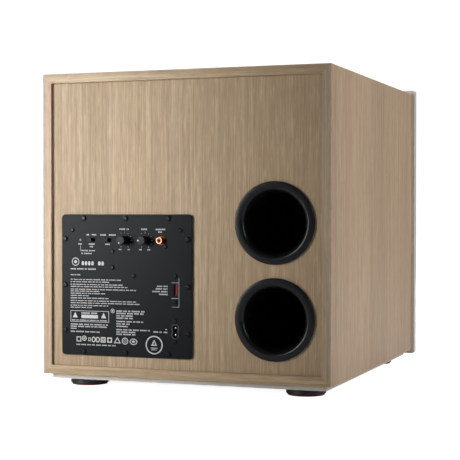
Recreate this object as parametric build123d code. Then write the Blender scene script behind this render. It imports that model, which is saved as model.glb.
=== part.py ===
from build123d import *
import math
import os

# Powered subwoofer for a home cinema, seen and used as a free-standing box.
# Millimetres. +Z is up, the driver fires towards -Y and the amplifier plate faces +Y.
# The origin lies on the floor, under the middle of the whole object.

os.makedirs("parts", exist_ok=True)

# ---------------------------------------------------------------- cabinet sizes
cabinet_width = 388.0
cabinet_height = 388.0
cabinet_depth = 441.0
wall = 18.0
rim_width = 12.0
edge_radius = 1.2
back_thickness = 18.0
back_recess = 4.0
rebate_corner_radius = 0.5
baffle_thickness = 15.0
baffle_overhang = 5.0
baffle_corner_radius = 3.0
baffle_edge_radius = 1.5
inner_baffle_thickness = 18.0
brace_thickness = 18.0
brace_arm = 50.0
brace_gap_behind_driver = 14.0
wadding_thickness = 15.0
wadding_side_gap = 4.0
plinth_thickness = 6.0
plinth_inset = 8.0
plinth_corner_radius = 4.0
foot_diameter = 50.0
foot_height = 10.0
foot_margin = 45.0
foot_pad_thickness = 1.6
foot_pad_inset = 2.0
foot_well_diameter = 16.0
foot_well_depth = 5.0
foot_edge_bevel = 1.0

# ---------------------------------------------------------------- port sizes
port_bore = 75.0
port_wall = 3.0
port_flange_width = 13.5
port_rim_flat = 7.5
port_flange_thickness = 4.0
port_flange_round = 1.6
port_length = 190.0
port_socket_depth = 34.0
port_socket_wall = 2.8
port_stop_depth = 19.0
port_inner_flare = 6.0
port_side_margin = 72.5
upper_port_height = 196.8
lower_port_height = 78.8
port_fit_gap = 0.2
port_hole_gap = 0.5

# ---------------------------------------------------------------- driver sizes
driver_diameter = 308.0
driver_recess_gap = 0.5
driver_recess_depth = 7.0
driver_cutout_ledge = 13.0
driver_flange_thickness = 4.0
driver_seal_thickness = 1.0
driver_flange_width = 26.0
driver_screw_count = 8
driver_screw_inset = 6.5
surround_lip = 6.0
surround_roll = 16.0
surround_rise = 6.5
surround_thickness = 0.9
trim_ring_thickness = 1.6
cone_thickness = 1.0
cone_depth = 50.0
cone_neck_length = 4.0
basket_wall = 3.0
basket_shoulder_depth = 8.0
basket_shoulder_gap = 2.5
basket_depth = 76.0
basket_collar_depth = 96.0
basket_seat_thickness = 4.0
basket_collar_radius = 82.0
basket_window_count = 8
basket_spoke = 20.0
basket_window_margin = 14.0
basket_window_round = 6.0
spider_thickness = 1.0
spider_ledge = 12.0
spider_collar = 2.0
spider_folds = 10
spider_fold_rise = 2.0
spider_edge_gap = 0.5
coil_radius = 25.0
former_thickness = 0.4
winding_thickness = 0.8
winding_length = 22.0
coil_gap = 0.7
dust_cap_radius = 42.0
dust_cap_rise = 12.0
pole_vent_radius = 8.0
top_plate_radius = 72.0
top_plate_thickness = 8.0
magnet_radius = 78.0
magnet_bore_radius = 36.0
magnet_thickness = 30.0
yoke_thickness = 8.0
terminal_angle = -45.0
terminal_width = 22.0
terminal_reach = 12.0
tag_width = 5.0
tag_length = 8.0
tag_thickness = 1.0
tag_offset = 6.0
lead_radius = 1.6
lead_hole_gap = 0.4
lead_exit_across = 10.0
lead_exit_up = 10.0

# ---------------------------------------------------------------- grille sizes
grille_margin = 13.0
grille_thickness = 13.0
grille_gap = 0.5
grille_corner_radius = 10.0
cloth_thickness = 1.0
cloth_gap = 0.1
grille_opening_gap = 4.0
peg_radius = 3.5
peg_length = 9.0
peg_inset = 26.0
peg_fit_gap = 0.05
cup_wall = 2.5
cup_length = 12.0
cup_lip_width = 2.0
cup_lip_thickness = 1.0
cup_floor = 1.5

# ---------------------------------------------------------------- amplifier sizes
plate_size = 181.0
plate_thickness = 2.5
plate_corner_radius = 5.0
plate_side_margin = 27.0
plate_bottom_margin = 26.0
plate_overlap = 8.0
gasket_thickness = 1.0
plate_screw_inset = 5.0
plate_screw_pitch = 59.0
chassis_depth = 88.0
chassis_wall = 1.5
chassis_corner_radius = 4.0
chassis_gap = 1.0
board_gap = 14.0
board_thickness = 1.6
board_width = 158.0
board_height = 72.0
board_height_centre = 40.0

# Places on the plate, from its centre: across towards +X, then up.
controls_row = 57.8
led_across = 63.5
power_switch_across = 47.6
phase_switch_across = 24.6
crossover_across = 1.4
volume_across = -27.0
input_across = -49.0
plate_edge_round = 0.5
corner_fixings = [(75.0, 70.5), (-75.5, 70.5), (-54.9, 49.8), (-11.6, 12.7)]
transistor_fixings = [(18.3, 43.3), (18.3, 22.7)]
selector_place = (-68.5, -3.5)
inlet_place = (-68.0, -56.0)
transformer_place = (20.0, -39.0)
transformer_radius = 40.0
transformer_eye = 14.0
transformer_height = 38.0
transformer_round = 9.0
transistor_width = 16.0
transistor_height = 18.0
transistor_thickness = 5.0
sink_place = (44.0, 42.0)
sink_width = 52.0
sink_height = 28.0
sink_depth = 26.0
sink_base = 4.0
sink_fins = 7
sink_fin_thickness = 2.0
capacitor_round = 1.5
large_capacitor = (12.5, 42.0)
small_capacitor = (8.0, 25.0)
large_capacitor_places = [(-18.0, 38.0), (-48.0, 34.0)]
small_capacitor_places = [(-4.0, 62.0), (-70.0, 60.0)]
pillar_radius = 3.0
clamp_bolt_radius = 3.0
clamp_bolt_gap = 0.1
clamp_washer_radius = 30.0
clamp_washer_thickness = 2.0
clamp_nut_radius = 5.5
clamp_nut_height = 4.0
clamp_head_radius = 5.0
clamp_head_height = 3.0

knob_diameter = 12.0
knob_reach = 13.5
knob_gap = 0.6
knob_skirt = 1.5
knob_skirt_width = 0.4
knob_cap = 2.5
knob_edge_round = 0.8
knob_flutes = 24
knob_flute_radius = 0.45
knob_flute_margin = 0.6
shaft_radius = 3.0
shaft_fit_gap = 0.05
shaft_hole_gap = 0.5
shaft_depth = 6.0
shaft_end_gap = 0.5
pot_radius = 8.5
pot_depth = 10.0
pot_lug_width = 12.0
pot_lug_height = 5.0
pot_lug_drop = 7.0
slot_width = 9.6
slot_height = 4.8
nub_width = 4.6
nub_rise = 2.6
slide_gap = 0.3
slide_base_overlap = 0.9
slide_base_thickness = 1.5
slide_roof = 1.2
slot_round = 0.6
nub_groove_width = 0.5
nub_groove_depth = 0.5
nub_groove_pitch = 1.2
switch_body_width = 14.0
switch_body_height = 9.0
selector_window_width = 5.0
selector_window_height = 15.0
selector_travel = 5.0
selector_slider_overlap = 0.5
selector_slider_thickness = 2.0
selector_body_width = 12.0
selector_body_depth = 12.0
selector_screw_pitch = 32.8
selector_notch_width = 3.6
selector_notch_height = 1.2
selector_notch_depth = 0.9
socket_ear = 3.5
socket_screw_depth = 6.0
inlet_pin_spacing = 8.6
inlet_pin_radius = 1.2
inlet_lobe_radius = 3.95
inlet_nose_wall = 1.1
inlet_waist = 5.6
inlet_socket_depth = 12.0
inlet_pin_recess = 2.0
inlet_body_depth = 20.0
inlet_body_width = 14.0
inlet_screw_pitch = 27.0
inlet_nose_reach = 0.4
inlet_body_height = 21.0
inlet_ear_thickness = 3.0
inlet_pin_tail = 4.0
inlet_pin_round = 0.6
rca_radius = 4.15
rca_wall = 1.25
rca_reach = 7.0
rca_collar_radius = 5.6
rca_core_recess = 0.8
rca_contact_radius = 1.5
rca_body_width = 11.0
rca_body_below = 4.6
rca_body_above = 7.0
rca_collar_thickness = 0.7
rca_edge_round = 0.4
rca_contact_depth = 8.0
led_radius = 1.5
led_rise = 1.0
led_round = 0.9
fit_gap = 0.1

# ---------------------------------------------------------------- screws
wood_screw_head_radius = 3.5
wood_screw_head_height = 2.1
wood_screw_radius = 1.9
wood_screw_length = 17.0
panel_screw_head_radius = 2.7
panel_screw_head_height = 1.7
panel_screw_radius = 1.45
driver_screw_head_radius = 4.5
driver_screw_head_height = 2.8
driver_screw_radius = 2.4
driver_screw_length = 26.0
foot_screw_head_radius = 4.0
foot_screw_head_height = 2.4
foot_screw_radius = 2.0
screw_hole_gap = 0.1
crown_share = 0.7
recess_length_share = 1.1
recess_width_share = 0.26

# ---------------------------------------------------------------- worked out: heights and depths
cabinet_bottom = foot_height + plinth_thickness
cabinet_middle = cabinet_bottom + cabinet_height / 2
front_reach = grille_gap + grille_thickness + cloth_thickness
plate_face_depth = baffle_thickness + cabinet_depth - back_recess + gasket_thickness + plate_thickness
back_reach = plate_face_depth + knob_reach
face_y = -(back_reach - front_reach) / 2
shell_front_y = face_y + baffle_thickness
shell_back_y = shell_front_y + cabinet_depth
back_face_y = shell_back_y - back_recess
back_inner_y = back_face_y - back_thickness
plate_face_y = face_y + plate_face_depth
plate_x = cabinet_width / 2 - plate_side_margin - plate_size / 2
plate_z = cabinet_bottom + plate_bottom_margin + plate_size / 2
port_x = -cabinet_width / 2 + port_side_margin
port_heights = [cabinet_bottom + upper_port_height, cabinet_bottom + lower_port_height]
inner_width = cabinet_width - 2 * wall
inner_height = cabinet_height - 2 * wall
baffle_width = cabinet_width + 2 * baffle_overhang
baffle_height = cabinet_height + 2 * baffle_overhang
back_width = cabinet_width - 2 * rim_width
back_height = cabinet_height - 2 * rim_width
driver_radius = driver_diameter / 2
cutout_radius = driver_radius - driver_cutout_ledge
flange_front = driver_recess_depth - driver_seal_thickness - driver_flange_thickness
flange_inner_radius = driver_radius - driver_flange_width
surround_outer_radius = flange_inner_radius + surround_lip
cone_edge_radius = flange_inner_radius - surround_roll
cone_lip_depth = flange_front + surround_thickness
neck_depth = cone_lip_depth + cone_depth
motor_front = basket_collar_depth + basket_seat_thickness
magnet_front = motor_front + top_plate_thickness
yoke_front = magnet_front + magnet_thickness
driver_depth = yoke_front + yoke_thickness
grille_width = baffle_width - 2 * grille_margin
grille_height = baffle_height - 2 * grille_margin
frame_width = grille_width - 2 * cloth_thickness
frame_height = grille_height - 2 * cloth_thickness
cutout_size = plate_size - 2 * plate_overlap
chassis_size = cutout_size - 2 * chassis_gap
chassis_rear = plate_thickness + chassis_depth
pot_centres = [crossover_across, volume_across]
switch_centres = [power_switch_across, phase_switch_across]
switch_travel = slot_width - nub_width - 2 * slide_gap


# ---------------------------------------------------------------- shapes used again
def block(x0, x1, y0, y1, z0, z1):
    """A box between two corners."""
    centre = Pos((x0 + x1) / 2, (y0 + y1) / 2, (z0 + z1) / 2)
    return centre * Box(x1 - x0, y1 - y0, z1 - z0)


def rod(radius, y0, y1, x=0.0, z=0.0):
    """A cylinder along Y."""
    return Pos(x, (y0 + y1) / 2, z) * Rot(90, 0, 0) * Cylinder(radius, y1 - y0)


def ring(outer, inner, y0, y1, x=0.0, z=0.0):
    """A flat ring or tube along Y."""
    return rod(outer, y0, y1, x, z) - rod(inner, y0 - 1, y1 + 1, x, z)


def slab(width, height, radius, y0, y1, x=0.0, z=0.0):
    """A plate facing Y, with rounded corners."""
    outline = Plane.XZ * RectangleRounded(width, height, radius)
    return Pos(x, y1, z) * extrude(outline, amount=y1 - y0)


def turned(*lines):
    """A solid turned about the Y axis from an outline in radius and depth."""
    return revolve(make_face(Curve() + [*lines]), axis=Axis.Y)


def turned_points(points):
    """A turned solid whose outline has only straight sides."""
    return turned(Polyline(*points, close=True))


def screw(head_radius, head_height, shank_radius, length):
    """A pan-head screw with a cross recess, head up, seated at the origin."""
    head = Pos(0, 0, head_height / 2) * Cylinder(head_radius, head_height)
    crown = head.edges().group_by(Axis.Z)[-1]
    head = fillet(crown, head_height * crown_share)
    arm = Box(head_radius * recess_length_share, head_radius * recess_width_share, head_height)
    recess = arm + Rot(0, 0, 90) * arm
    shank = Pos(0, 0, -length / 2) * Cylinder(shank_radius, length)
    return head - Pos(0, 0, head_height) * recess + shank


def facing_back(shape):
    """Turns a shape that points up so that it points to +Y."""
    return Rot(-90, 0, 0) * shape


def facing_front(shape):
    """Turns a shape that points up so that it points to -Y."""
    return Rot(90, 0, 0) * shape


def on_plate(shape, across, up):
    """Moves a shape whose Y is 0 at the plate's outer face to its place."""
    return Pos(plate_x + across, plate_face_y, plate_z + up) * shape


def on_driver(shape):
    """Moves a shape whose Y is depth behind the baffle's face to the driver's axis."""
    return Pos(0, face_y, cabinet_middle) * shape


def ring_places(count, radius, start=0.0):
    """Points on a circle in the XZ plane."""
    places = []
    for number in range(count):
        angle = math.radians(start + 360.0 * number / count)
        places.append((radius * math.cos(angle), radius * math.sin(angle)))
    return places


def plate_screw_places():
    """Three screws along each side of the amplifier plate."""
    reach = plate_size / 2 - plate_screw_inset
    places = []
    for step in (-plate_screw_pitch, 0.0, plate_screw_pitch):
        places += [(step, reach), (step, -reach), (reach, step), (-reach, step)]
    return places


def socket_screw_places():
    """The screws of the voltage selector and of the mains inlet."""
    places = []
    for (across, up), pitch in ((selector_place, selector_screw_pitch), (inlet_place, inlet_screw_pitch)):
        places += [(across, up + pitch / 2), (across, up - pitch / 2)]
    return places


def foot_places():
    """The centres of the four feet, as x and y."""
    x = cabinet_width / 2 - foot_margin
    return [(sx * x, y) for sx in (-1, 1) for y in (shell_front_y + foot_margin, shell_back_y - foot_margin)]


def peg_places():
    """The centres of the grille's pegs, from the middle of the baffle."""
    x = grille_width / 2 - peg_inset
    z = grille_height / 2 - peg_inset
    return [(sx * x, sz * z) for sx in (-1, 1) for sz in (-1, 1)]


def group(shapes):
    """Separate solids kept in one sub-part."""
    return Compound(children=list(shapes))


# ---------------------------------------------------------------- cabinet
def shell_envelope():
    """The outside of the wooden shell, with its edges eased."""
    body = slab(cabinet_width, cabinet_height, edge_radius, shell_front_y, shell_back_y, 0, cabinet_middle)
    rear_edges = body.edges().group_by(Axis.Y)[-1]
    return chamfer(rear_edges, edge_radius / 2)


def shell_panel(turn):
    """One mitred panel of the shell, turned about the cabinet's axis from the top one."""
    along = cabinet_width / 2
    reach = cabinet_height / 2
    if turn % 180:
        along, reach = reach, along
    outline = Polyline(
        (-along, reach), (along, reach), (along - wall, reach - wall), (-along + wall, reach - wall), close=True
    )
    panel = Pos(0, shell_back_y, 0) * extrude(Plane.XZ * make_face(outline), amount=cabinet_depth)
    panel = Pos(0, 0, cabinet_middle) * Rot(0, turn, 0) * panel
    rebate = slab(
        back_width, back_height, rebate_corner_radius, back_inner_y, shell_back_y + 1, 0, cabinet_middle
    )
    return (panel & shell_envelope()) - rebate


def back_panel():
    """The veneered back, cut out for the amplifier, the ports and their screws."""
    panel = slab(back_width, back_height, rebate_corner_radius, back_inner_y, back_face_y, 0, cabinet_middle)
    reach = back_inner_y - 1
    panel -= slab(cutout_size, cutout_size, plate_corner_radius, reach, back_face_y + 1, plate_x, plate_z)
    hole = port_bore / 2 + port_wall + port_fit_gap + port_socket_wall + port_hole_gap
    for height in port_heights:
        panel -= rod(hole, reach, back_face_y + 1, port_x, height)
    for across, up in plate_screw_places():
        pilot = wood_screw_radius + screw_hole_gap / 2
        panel -= rod(pilot, back_face_y - wood_screw_length, back_face_y + 1, plate_x + across, plate_z + up)
    return panel


def front_baffle():
    """The painted front board, larger than the shell all round."""
    board = slab(
        baffle_width, baffle_height, baffle_corner_radius, face_y, shell_front_y, 0, cabinet_middle
    )
    board = fillet(board.edges().group_by(Axis.Y)[0], baffle_edge_radius)
    recess = driver_radius + driver_recess_gap
    board -= rod(recess, face_y - 1, face_y + driver_recess_depth, 0, cabinet_middle)
    board -= rod(cutout_radius, face_y, shell_front_y + 1, 0, cabinet_middle)
    hole = driver_screw_radius + screw_hole_gap / 2
    for x, z in ring_places(driver_screw_count, driver_radius - driver_screw_inset):
        board -= rod(hole, face_y, shell_front_y + 1, x, cabinet_middle + z)
    cup = peg_radius + peg_fit_gap + cup_wall
    for x, z in peg_places():
        board -= rod(cup + fit_gap, face_y - 1, face_y + cup_length + fit_gap, x, cabinet_middle + z)
        lip = cup + cup_lip_width
        board -= rod(lip + fit_gap, face_y - 1, face_y + cup_lip_thickness, x, cabinet_middle + z)
    return board


def inner_baffle():
    """The board inside the shell that the driver's screws bite into."""
    rear = shell_front_y + inner_baffle_thickness
    board = block(
        -inner_width / 2, inner_width / 2, shell_front_y, rear,
        cabinet_middle - inner_height / 2, cabinet_middle + inner_height / 2,
    )
    board -= rod(cutout_radius, shell_front_y - 1, rear + 1, 0, cabinet_middle)
    hole = driver_screw_radius + screw_hole_gap / 2
    for x, z in ring_places(driver_screw_count, driver_radius - driver_screw_inset):
        board -= rod(hole, shell_front_y - 1, rear + 1, x, cabinet_middle + z)
    return board


def cross_brace():
    """Two crossed boards that stiffen the shell behind the driver."""
    y0 = face_y + driver_depth + brace_gap_behind_driver
    y1 = y0 + brace_thickness
    half = brace_arm / 2
    across = block(-inner_width / 2, inner_width / 2, y0, y1, cabinet_middle - half, cabinet_middle + half)
    floor = cabinet_middle - inner_height / 2
    upright = block(-half, half, y0, y1, floor, floor + inner_height)
    return across + upright


def damping_sheets():
    """Wadding on the inside of the top, the bottom and the amplifier's side."""
    y0 = face_y + driver_depth + brace_gap_behind_driver + brace_thickness + wadding_side_gap
    y1 = back_inner_y - wadding_side_gap
    side = inner_width / 2
    floor = cabinet_bottom + wall
    ceiling = floor + inner_height
    clear = wadding_thickness + wadding_side_gap
    port_side = port_x + port_bore
    top = block(-side + wadding_side_gap, side - clear, y0, y1, ceiling - wadding_thickness, ceiling)
    bottom = block(port_side, side - clear, y0, y1, floor, floor + wadding_thickness)
    right = block(side - wadding_thickness, side, y0, y1, floor + clear, ceiling - clear)
    return group([top, bottom, right])


def plinth():
    """The thin painted board under the shell."""
    width = cabinet_width - 2 * plinth_inset
    depth = cabinet_depth - 2 * plinth_inset
    board = extrude(RectangleRounded(width, depth, plinth_corner_radius), amount=plinth_thickness)
    board = Pos(0, shell_front_y + cabinet_depth / 2, foot_height) * board
    hole = Cylinder(foot_screw_radius + screw_hole_gap / 2, 4 * plinth_thickness)
    for x, y in foot_places():
        board -= Pos(x, y, cabinet_bottom) * hole
    return board


def feet():
    """Four low round feet, each with a well for its screw."""
    radius = foot_diameter / 2
    height = foot_height - foot_pad_thickness
    foot = Pos(0, 0, foot_pad_thickness + height / 2) * Cylinder(radius, height)
    foot = chamfer(foot.edges().group_by(Axis.Z)[0], foot_edge_bevel)
    foot -= Pos(0, 0, foot_well_depth / 2) * Cylinder(foot_well_diameter / 2, foot_well_depth)
    foot -= Cylinder(foot_screw_radius + screw_hole_gap / 2, 4 * foot_height)
    return group([Pos(x, y, 0) * foot for x, y in foot_places()])


def foot_pads():
    """Rubber rings glued under the feet."""
    pad = Cylinder(foot_diameter / 2 - foot_pad_inset, foot_pad_thickness)
    pad -= Cylinder(foot_well_diameter / 2, foot_pad_thickness + 1)
    return group([Pos(x, y, foot_pad_thickness / 2) * pad for x, y in foot_places()])


def foot_screws():
    """One screw up through each foot into the plinth."""
    length = cabinet_bottom - foot_well_depth
    one = screw(foot_screw_head_radius, foot_screw_head_height, foot_screw_radius, length)
    one = Rot(180, 0, 0) * one
    return group([Pos(x, y, foot_well_depth) * one for x, y in foot_places()])


# ---------------------------------------------------------------- ports
def port_flare(height):
    """The moulded trumpet on the back, whose socket takes the port tube."""
    bore = port_bore / 2
    flange = bore + port_flange_width
    rim = flange - port_rim_flat
    socket = bore + port_wall + port_fit_gap
    outside = socket + port_socket_wall
    drop = rim - bore
    curve = RadiusArc((bore, -2 * drop), (rim, 0), -2.6 * drop)
    outline = Polyline(
        (rim, 0),
        (flange, 0),
        (flange, -port_flange_thickness),
        (outside, -port_flange_thickness),
        (outside, -port_socket_depth),
        (socket, -port_socket_depth),
        (socket, -port_stop_depth),
        (bore, -port_stop_depth),
        (bore, -2 * drop),
    )
    flare = turned(outline, curve)
    outer_edge = flare.edges().group_by(Axis.Y)[-1].sort_by(SortBy.RADIUS)[-1]
    flare = fillet(outer_edge, port_flange_round)
    return Pos(port_x, back_face_y + port_flange_thickness, height) * flare


def port_tube(height):
    """The duct itself, with its own flare at the inner end."""
    bore = port_bore / 2
    start = -port_stop_depth - port_fit_gap
    end = -port_length
    lip = bore + port_inner_flare
    outer_lip = lip + port_wall
    inner_curve = RadiusArc((bore, end + port_inner_flare), (lip, end), port_inner_flare)
    outer_curve = RadiusArc(
        (outer_lip, end), (bore + port_wall, end + port_inner_flare), -port_inner_flare
    )
    sides = [
        Line((bore, start), (bore, end + port_inner_flare)),
        inner_curve,
        Line((lip, end), (outer_lip, end)),
        outer_curve,
        Line((bore + port_wall, end + port_inner_flare), (bore + port_wall, start)),
        Line((bore + port_wall, start), (bore, start)),
    ]
    return Pos(port_x, back_face_y + port_flange_thickness, height) * turned(*sides)


# ---------------------------------------------------------------- driver
def driver_basket():
    """The cast frame: a flange, a ring of spokes and the seat of the motor."""
    shoulder = cutout_radius - basket_shoulder_gap
    rear = basket_collar_radius
    rings = turned_points([
        (flange_inner_radius, flange_front),
        (driver_radius, flange_front),
        (driver_radius, flange_front + driver_flange_thickness),
        (shoulder, flange_front + driver_flange_thickness),
        (shoulder, basket_shoulder_depth),
        (rear, basket_depth),
        (rear, motor_front),
        (coil_radius + 2 * basket_seat_thickness, motor_front),
        (coil_radius + 2 * basket_seat_thickness, basket_collar_depth),
        (rear - basket_wall, basket_collar_depth),
        (rear - basket_wall, basket_depth + basket_wall),
        (rear - basket_wall - spider_ledge, basket_depth + basket_wall),
        (rear - basket_wall - spider_ledge, basket_depth),
        (rear - basket_wall - 1, basket_depth),
        (shoulder - basket_wall, basket_shoulder_depth),
        (flange_inner_radius, flange_front + driver_flange_thickness),
    ])
    first = basket_shoulder_depth + basket_window_margin
    last = basket_depth - basket_window_margin / 2
    window_width = 2 * math.pi * (rear + shoulder) / 2 / basket_window_count - basket_spoke
    window = block(rear * 0.8, driver_radius, first, last, -window_width / 2, window_width / 2)
    window = fillet(window.edges().filter_by(Axis.X), basket_window_round)
    for number in range(basket_window_count):
        rings -= Rot(0, 360.0 * (number + 0.5) / basket_window_count, 0) * window
    hole = driver_screw_radius + screw_hole_gap / 2
    for x, z in ring_places(driver_screw_count, driver_radius - driver_screw_inset):
        rings -= rod(hole, 0, 2 * driver_recess_depth, x, z)
    return on_driver(rings)


def driver_seal():
    """Foam ring between the driver's flange and the baffle."""
    seal = ring(driver_radius, cutout_radius, driver_recess_depth - driver_seal_thickness, driver_recess_depth)
    for x, z in ring_places(driver_screw_count, driver_radius - driver_screw_inset):
        seal -= rod(driver_screw_radius + screw_hole_gap / 2, 0, 2 * driver_recess_depth, x, z)
    return on_driver(seal)


def driver_trim_ring():
    """Ring that clamps the surround's lip to the flange."""
    inner = surround_outer_radius + fit_gap
    outer = driver_radius - driver_screw_inset - driver_screw_head_radius - 0.5
    return on_driver(ring(outer, inner, flange_front - trim_ring_thickness, flange_front))


def surround():
    """Half-roll rubber edge between the cone and the flange."""
    back = flange_front
    front = flange_front - surround_thickness
    inner = cone_edge_radius - surround_lip
    middle = (cone_edge_radius + flange_inner_radius) / 2
    roll = surround_roll / 2 - surround_thickness
    wide = surround_roll / 2
    outline = [
        Line((surround_outer_radius, back), (surround_outer_radius, front)),
        Line((surround_outer_radius, front), (middle + wide, front)),
        ThreePointArc((middle + wide, front), (middle, front - surround_rise), (middle - wide, front)),
        Line((middle - wide, front), (inner, front)),
        Line((inner, front), (inner, back)),
        Line((inner, back), (middle - roll, back)),
        ThreePointArc((middle - roll, back), (middle, back - surround_rise), (middle + roll, back)),
        Line((middle + roll, back), (surround_outer_radius, back)),
    ]
    return on_driver(turned(*outline))


def cone():
    """The cone, from its lip under the surround down to the voice coil."""
    neck = coil_radius + former_thickness + fit_gap
    lip = cone_edge_radius - surround_lip
    t = cone_thickness
    shape = turned_points([
        (lip, flange_front + fit_gap),
        (cone_edge_radius, flange_front + fit_gap),
        (cone_edge_radius, flange_front + fit_gap + t),
        (lip, flange_front + fit_gap + t),
        (neck + t, neck_depth),
        (neck + t, neck_depth + cone_neck_length),
        (neck, neck_depth + cone_neck_length),
        (neck, neck_depth - t),
    ])
    return on_driver(shape)


def cone_depth_at(radius):
    """How deep the cone's front surface lies at a radius."""
    neck = coil_radius + former_thickness + fit_gap
    lip = cone_edge_radius - surround_lip
    slope = (neck_depth - cone_thickness - flange_front - fit_gap) / (lip - neck)
    return flange_front + fit_gap + (lip - radius) * slope


def dust_cap():
    """The dome glued over the middle of the cone."""
    foot = cone_depth_at(dust_cap_radius) - fit_gap
    top = foot - dust_cap_rise
    sphere = (dust_cap_radius ** 2 + dust_cap_rise ** 2) / (2 * dust_cap_rise)
    dome = Pos(0, top + sphere, 0) * (Sphere(sphere) - Sphere(sphere - cone_thickness))
    return on_driver(dome & rod(dust_cap_radius + 1, top - 1, foot))


def voice_coil():
    """The former with its winding, reaching into the magnet's gap."""
    inner = coil_radius - former_thickness / 2
    outer = coil_radius + former_thickness / 2
    middle = motor_front + top_plate_thickness / 2
    start = neck_depth - 2
    end = middle + winding_length / 2 + 1
    shape = turned_points([
        (inner, start),
        (outer, start),
        (outer, middle - winding_length / 2),
        (outer + winding_thickness, middle - winding_length / 2),
        (outer + winding_thickness, middle + winding_length / 2),
        (outer, middle + winding_length / 2),
        (outer, end),
        (inner, end),
    ])
    return on_driver(shape)


def spider():
    """The corrugated disc that centres the voice coil."""
    inner = coil_radius + former_thickness / 2 + fit_gap
    collar = inner + spider_collar
    flat = basket_collar_radius - basket_wall - spider_ledge - spider_edge_gap
    outer = basket_collar_radius - basket_wall - spider_edge_gap - 1
    face = basket_depth - spider_thickness
    pitch = (flat - collar) / spider_folds
    front = [(inner, face), (collar, face)]
    for number in range(spider_folds):
        sway = spider_fold_rise if number % 2 else -spider_fold_rise
        front.append((collar + pitch * (number + 0.5), face - spider_thickness + sway))
    front += [(flat, face), (outer, face)]
    back = [(radius, depth + spider_thickness) for radius, depth in reversed(front)]
    return on_driver(turned_points(front + back))


def motor_ring(outer, inner, start, thickness):
    """One ring of the magnet system."""
    return on_driver(ring(outer, inner, start, start + thickness))


def yoke():
    """The rear plate with its vented pole piece."""
    pole = coil_radius - former_thickness / 2 - coil_gap
    shape = turned_points([
        (pole_vent_radius, motor_front),
        (pole, motor_front),
        (pole, yoke_front),
        (top_plate_radius, yoke_front),
        (top_plate_radius, driver_depth),
        (pole_vent_radius, driver_depth),
    ])
    return on_driver(shape)


def driver_screws():
    """The screws that hold the driver to both baffles."""
    one = screw(driver_screw_head_radius, driver_screw_head_height, driver_screw_radius, driver_screw_length)
    one = facing_front(one)
    places = ring_places(driver_screw_count, driver_radius - driver_screw_inset)
    return on_driver(group([Pos(x, flange_front, z) * one for x, z in places]))


def driver_terminals():
    """The terminal block on the side of the basket."""
    seat = basket_collar_radius
    near = basket_depth + 1
    far = basket_collar_depth
    half = terminal_width / 2
    body = block(seat, seat + terminal_reach, near, far, -half, half)
    body -= rod(seat + fit_gap, 0, driver_depth)
    middle = seat + terminal_reach / 2
    for side in (-tag_offset, tag_offset):
        body += block(
            middle, middle + tag_thickness, far, far + tag_length, side - tag_width / 2, side + tag_width / 2
        )
    return on_driver(Rot(0, -terminal_angle, 0) * body)


def speaker_leads():
    """Two leads from the amplifier's chassis to the driver's terminals."""
    angle = math.radians(terminal_angle)
    tag = basket_collar_radius + terminal_reach / 2 + tag_thickness / 2
    start_y = plate_face_y - chassis_rear
    end_y = face_y + basket_collar_depth + tag_length + 0.2
    run = start_y - end_y
    leads = []
    for side in (-tag_offset, tag_offset):
        end_x = tag * math.cos(angle) - side * math.sin(angle)
        end_z = cabinet_middle + tag * math.sin(angle) + side * math.cos(angle)
        start_x = plate_x + lead_exit_across + side
        start_z = plate_z + lead_exit_up
        route = [
            (start_x, start_y, start_z),
            (start_x, start_y - 0.23 * run, start_z - 4),
            (start_x + 6, start_y - 0.46 * run, start_z + 6),
            (end_x + 8, end_y + 0.31 * run, end_z + 10),
            (end_x, end_y + 0.12 * run, end_z),
            (end_x, end_y, end_z),
        ]
        bend = 0.2 * run
        path = FilletPolyline(*route, radius=bend)
        section = Plane(origin=route[0], z_dir=path % 0) * Circle(lead_radius)
        leads.append(sweep(section, path=path))
    return group(leads)


# ---------------------------------------------------------------- grille
def grille_frame():
    """The frame under the cloth, moulded with its four pegs."""
    rear = face_y - grille_gap
    frame = slab(
        frame_width, frame_height, grille_corner_radius, rear - grille_thickness, rear, 0, cabinet_middle
    )
    opening = driver_radius + grille_opening_gap
    frame -= rod(opening, rear - grille_thickness - 1, rear + 1, 0, cabinet_middle)
    for x, z in peg_places():
        frame += rod(peg_radius, rear - grille_thickness / 2, rear + peg_length, x, cabinet_middle + z)
    return frame


def grille_cloth():
    """The cloth over the front and the sides of the frame."""
    rear = face_y - grille_gap
    front = rear - grille_thickness
    radius = grille_corner_radius + cloth_thickness
    cloth = slab(grille_width, grille_height, radius, front - cloth_thickness, rear - 1, 0, cabinet_middle)
    inside_width = frame_width + 2 * cloth_gap
    inside_height = frame_height + 2 * cloth_gap
    cloth -= slab(inside_width, inside_height, grille_corner_radius, front, rear + 1, 0, cabinet_middle)
    return cloth


def grille_cups():
    """Sockets in the baffle for the grille's pegs."""
    bore = peg_radius + peg_fit_gap
    cup = rod(bore + cup_wall, 0, cup_length)
    cup += rod(bore + cup_wall + cup_lip_width, 0, cup_lip_thickness)
    cup -= rod(bore, -1, cup_length - cup_floor)
    return on_driver(group([Pos(x, 0, z) * cup for x, z in peg_places()]))


# ---------------------------------------------------------------- amplifier: plate and shell
def inlet_outline(growth, y0, y1):
    """The figure of eight of the mains inlet, grown by a margin."""
    half = inlet_pin_spacing / 2
    lobe = inlet_lobe_radius + growth
    shape = rod(lobe, y0, y1, 0, half) + rod(lobe, y0, y1, 0, -half)
    waist = inlet_waist / 2 + growth
    return shape + block(-waist, waist, y0, y1, -half, half)


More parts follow.
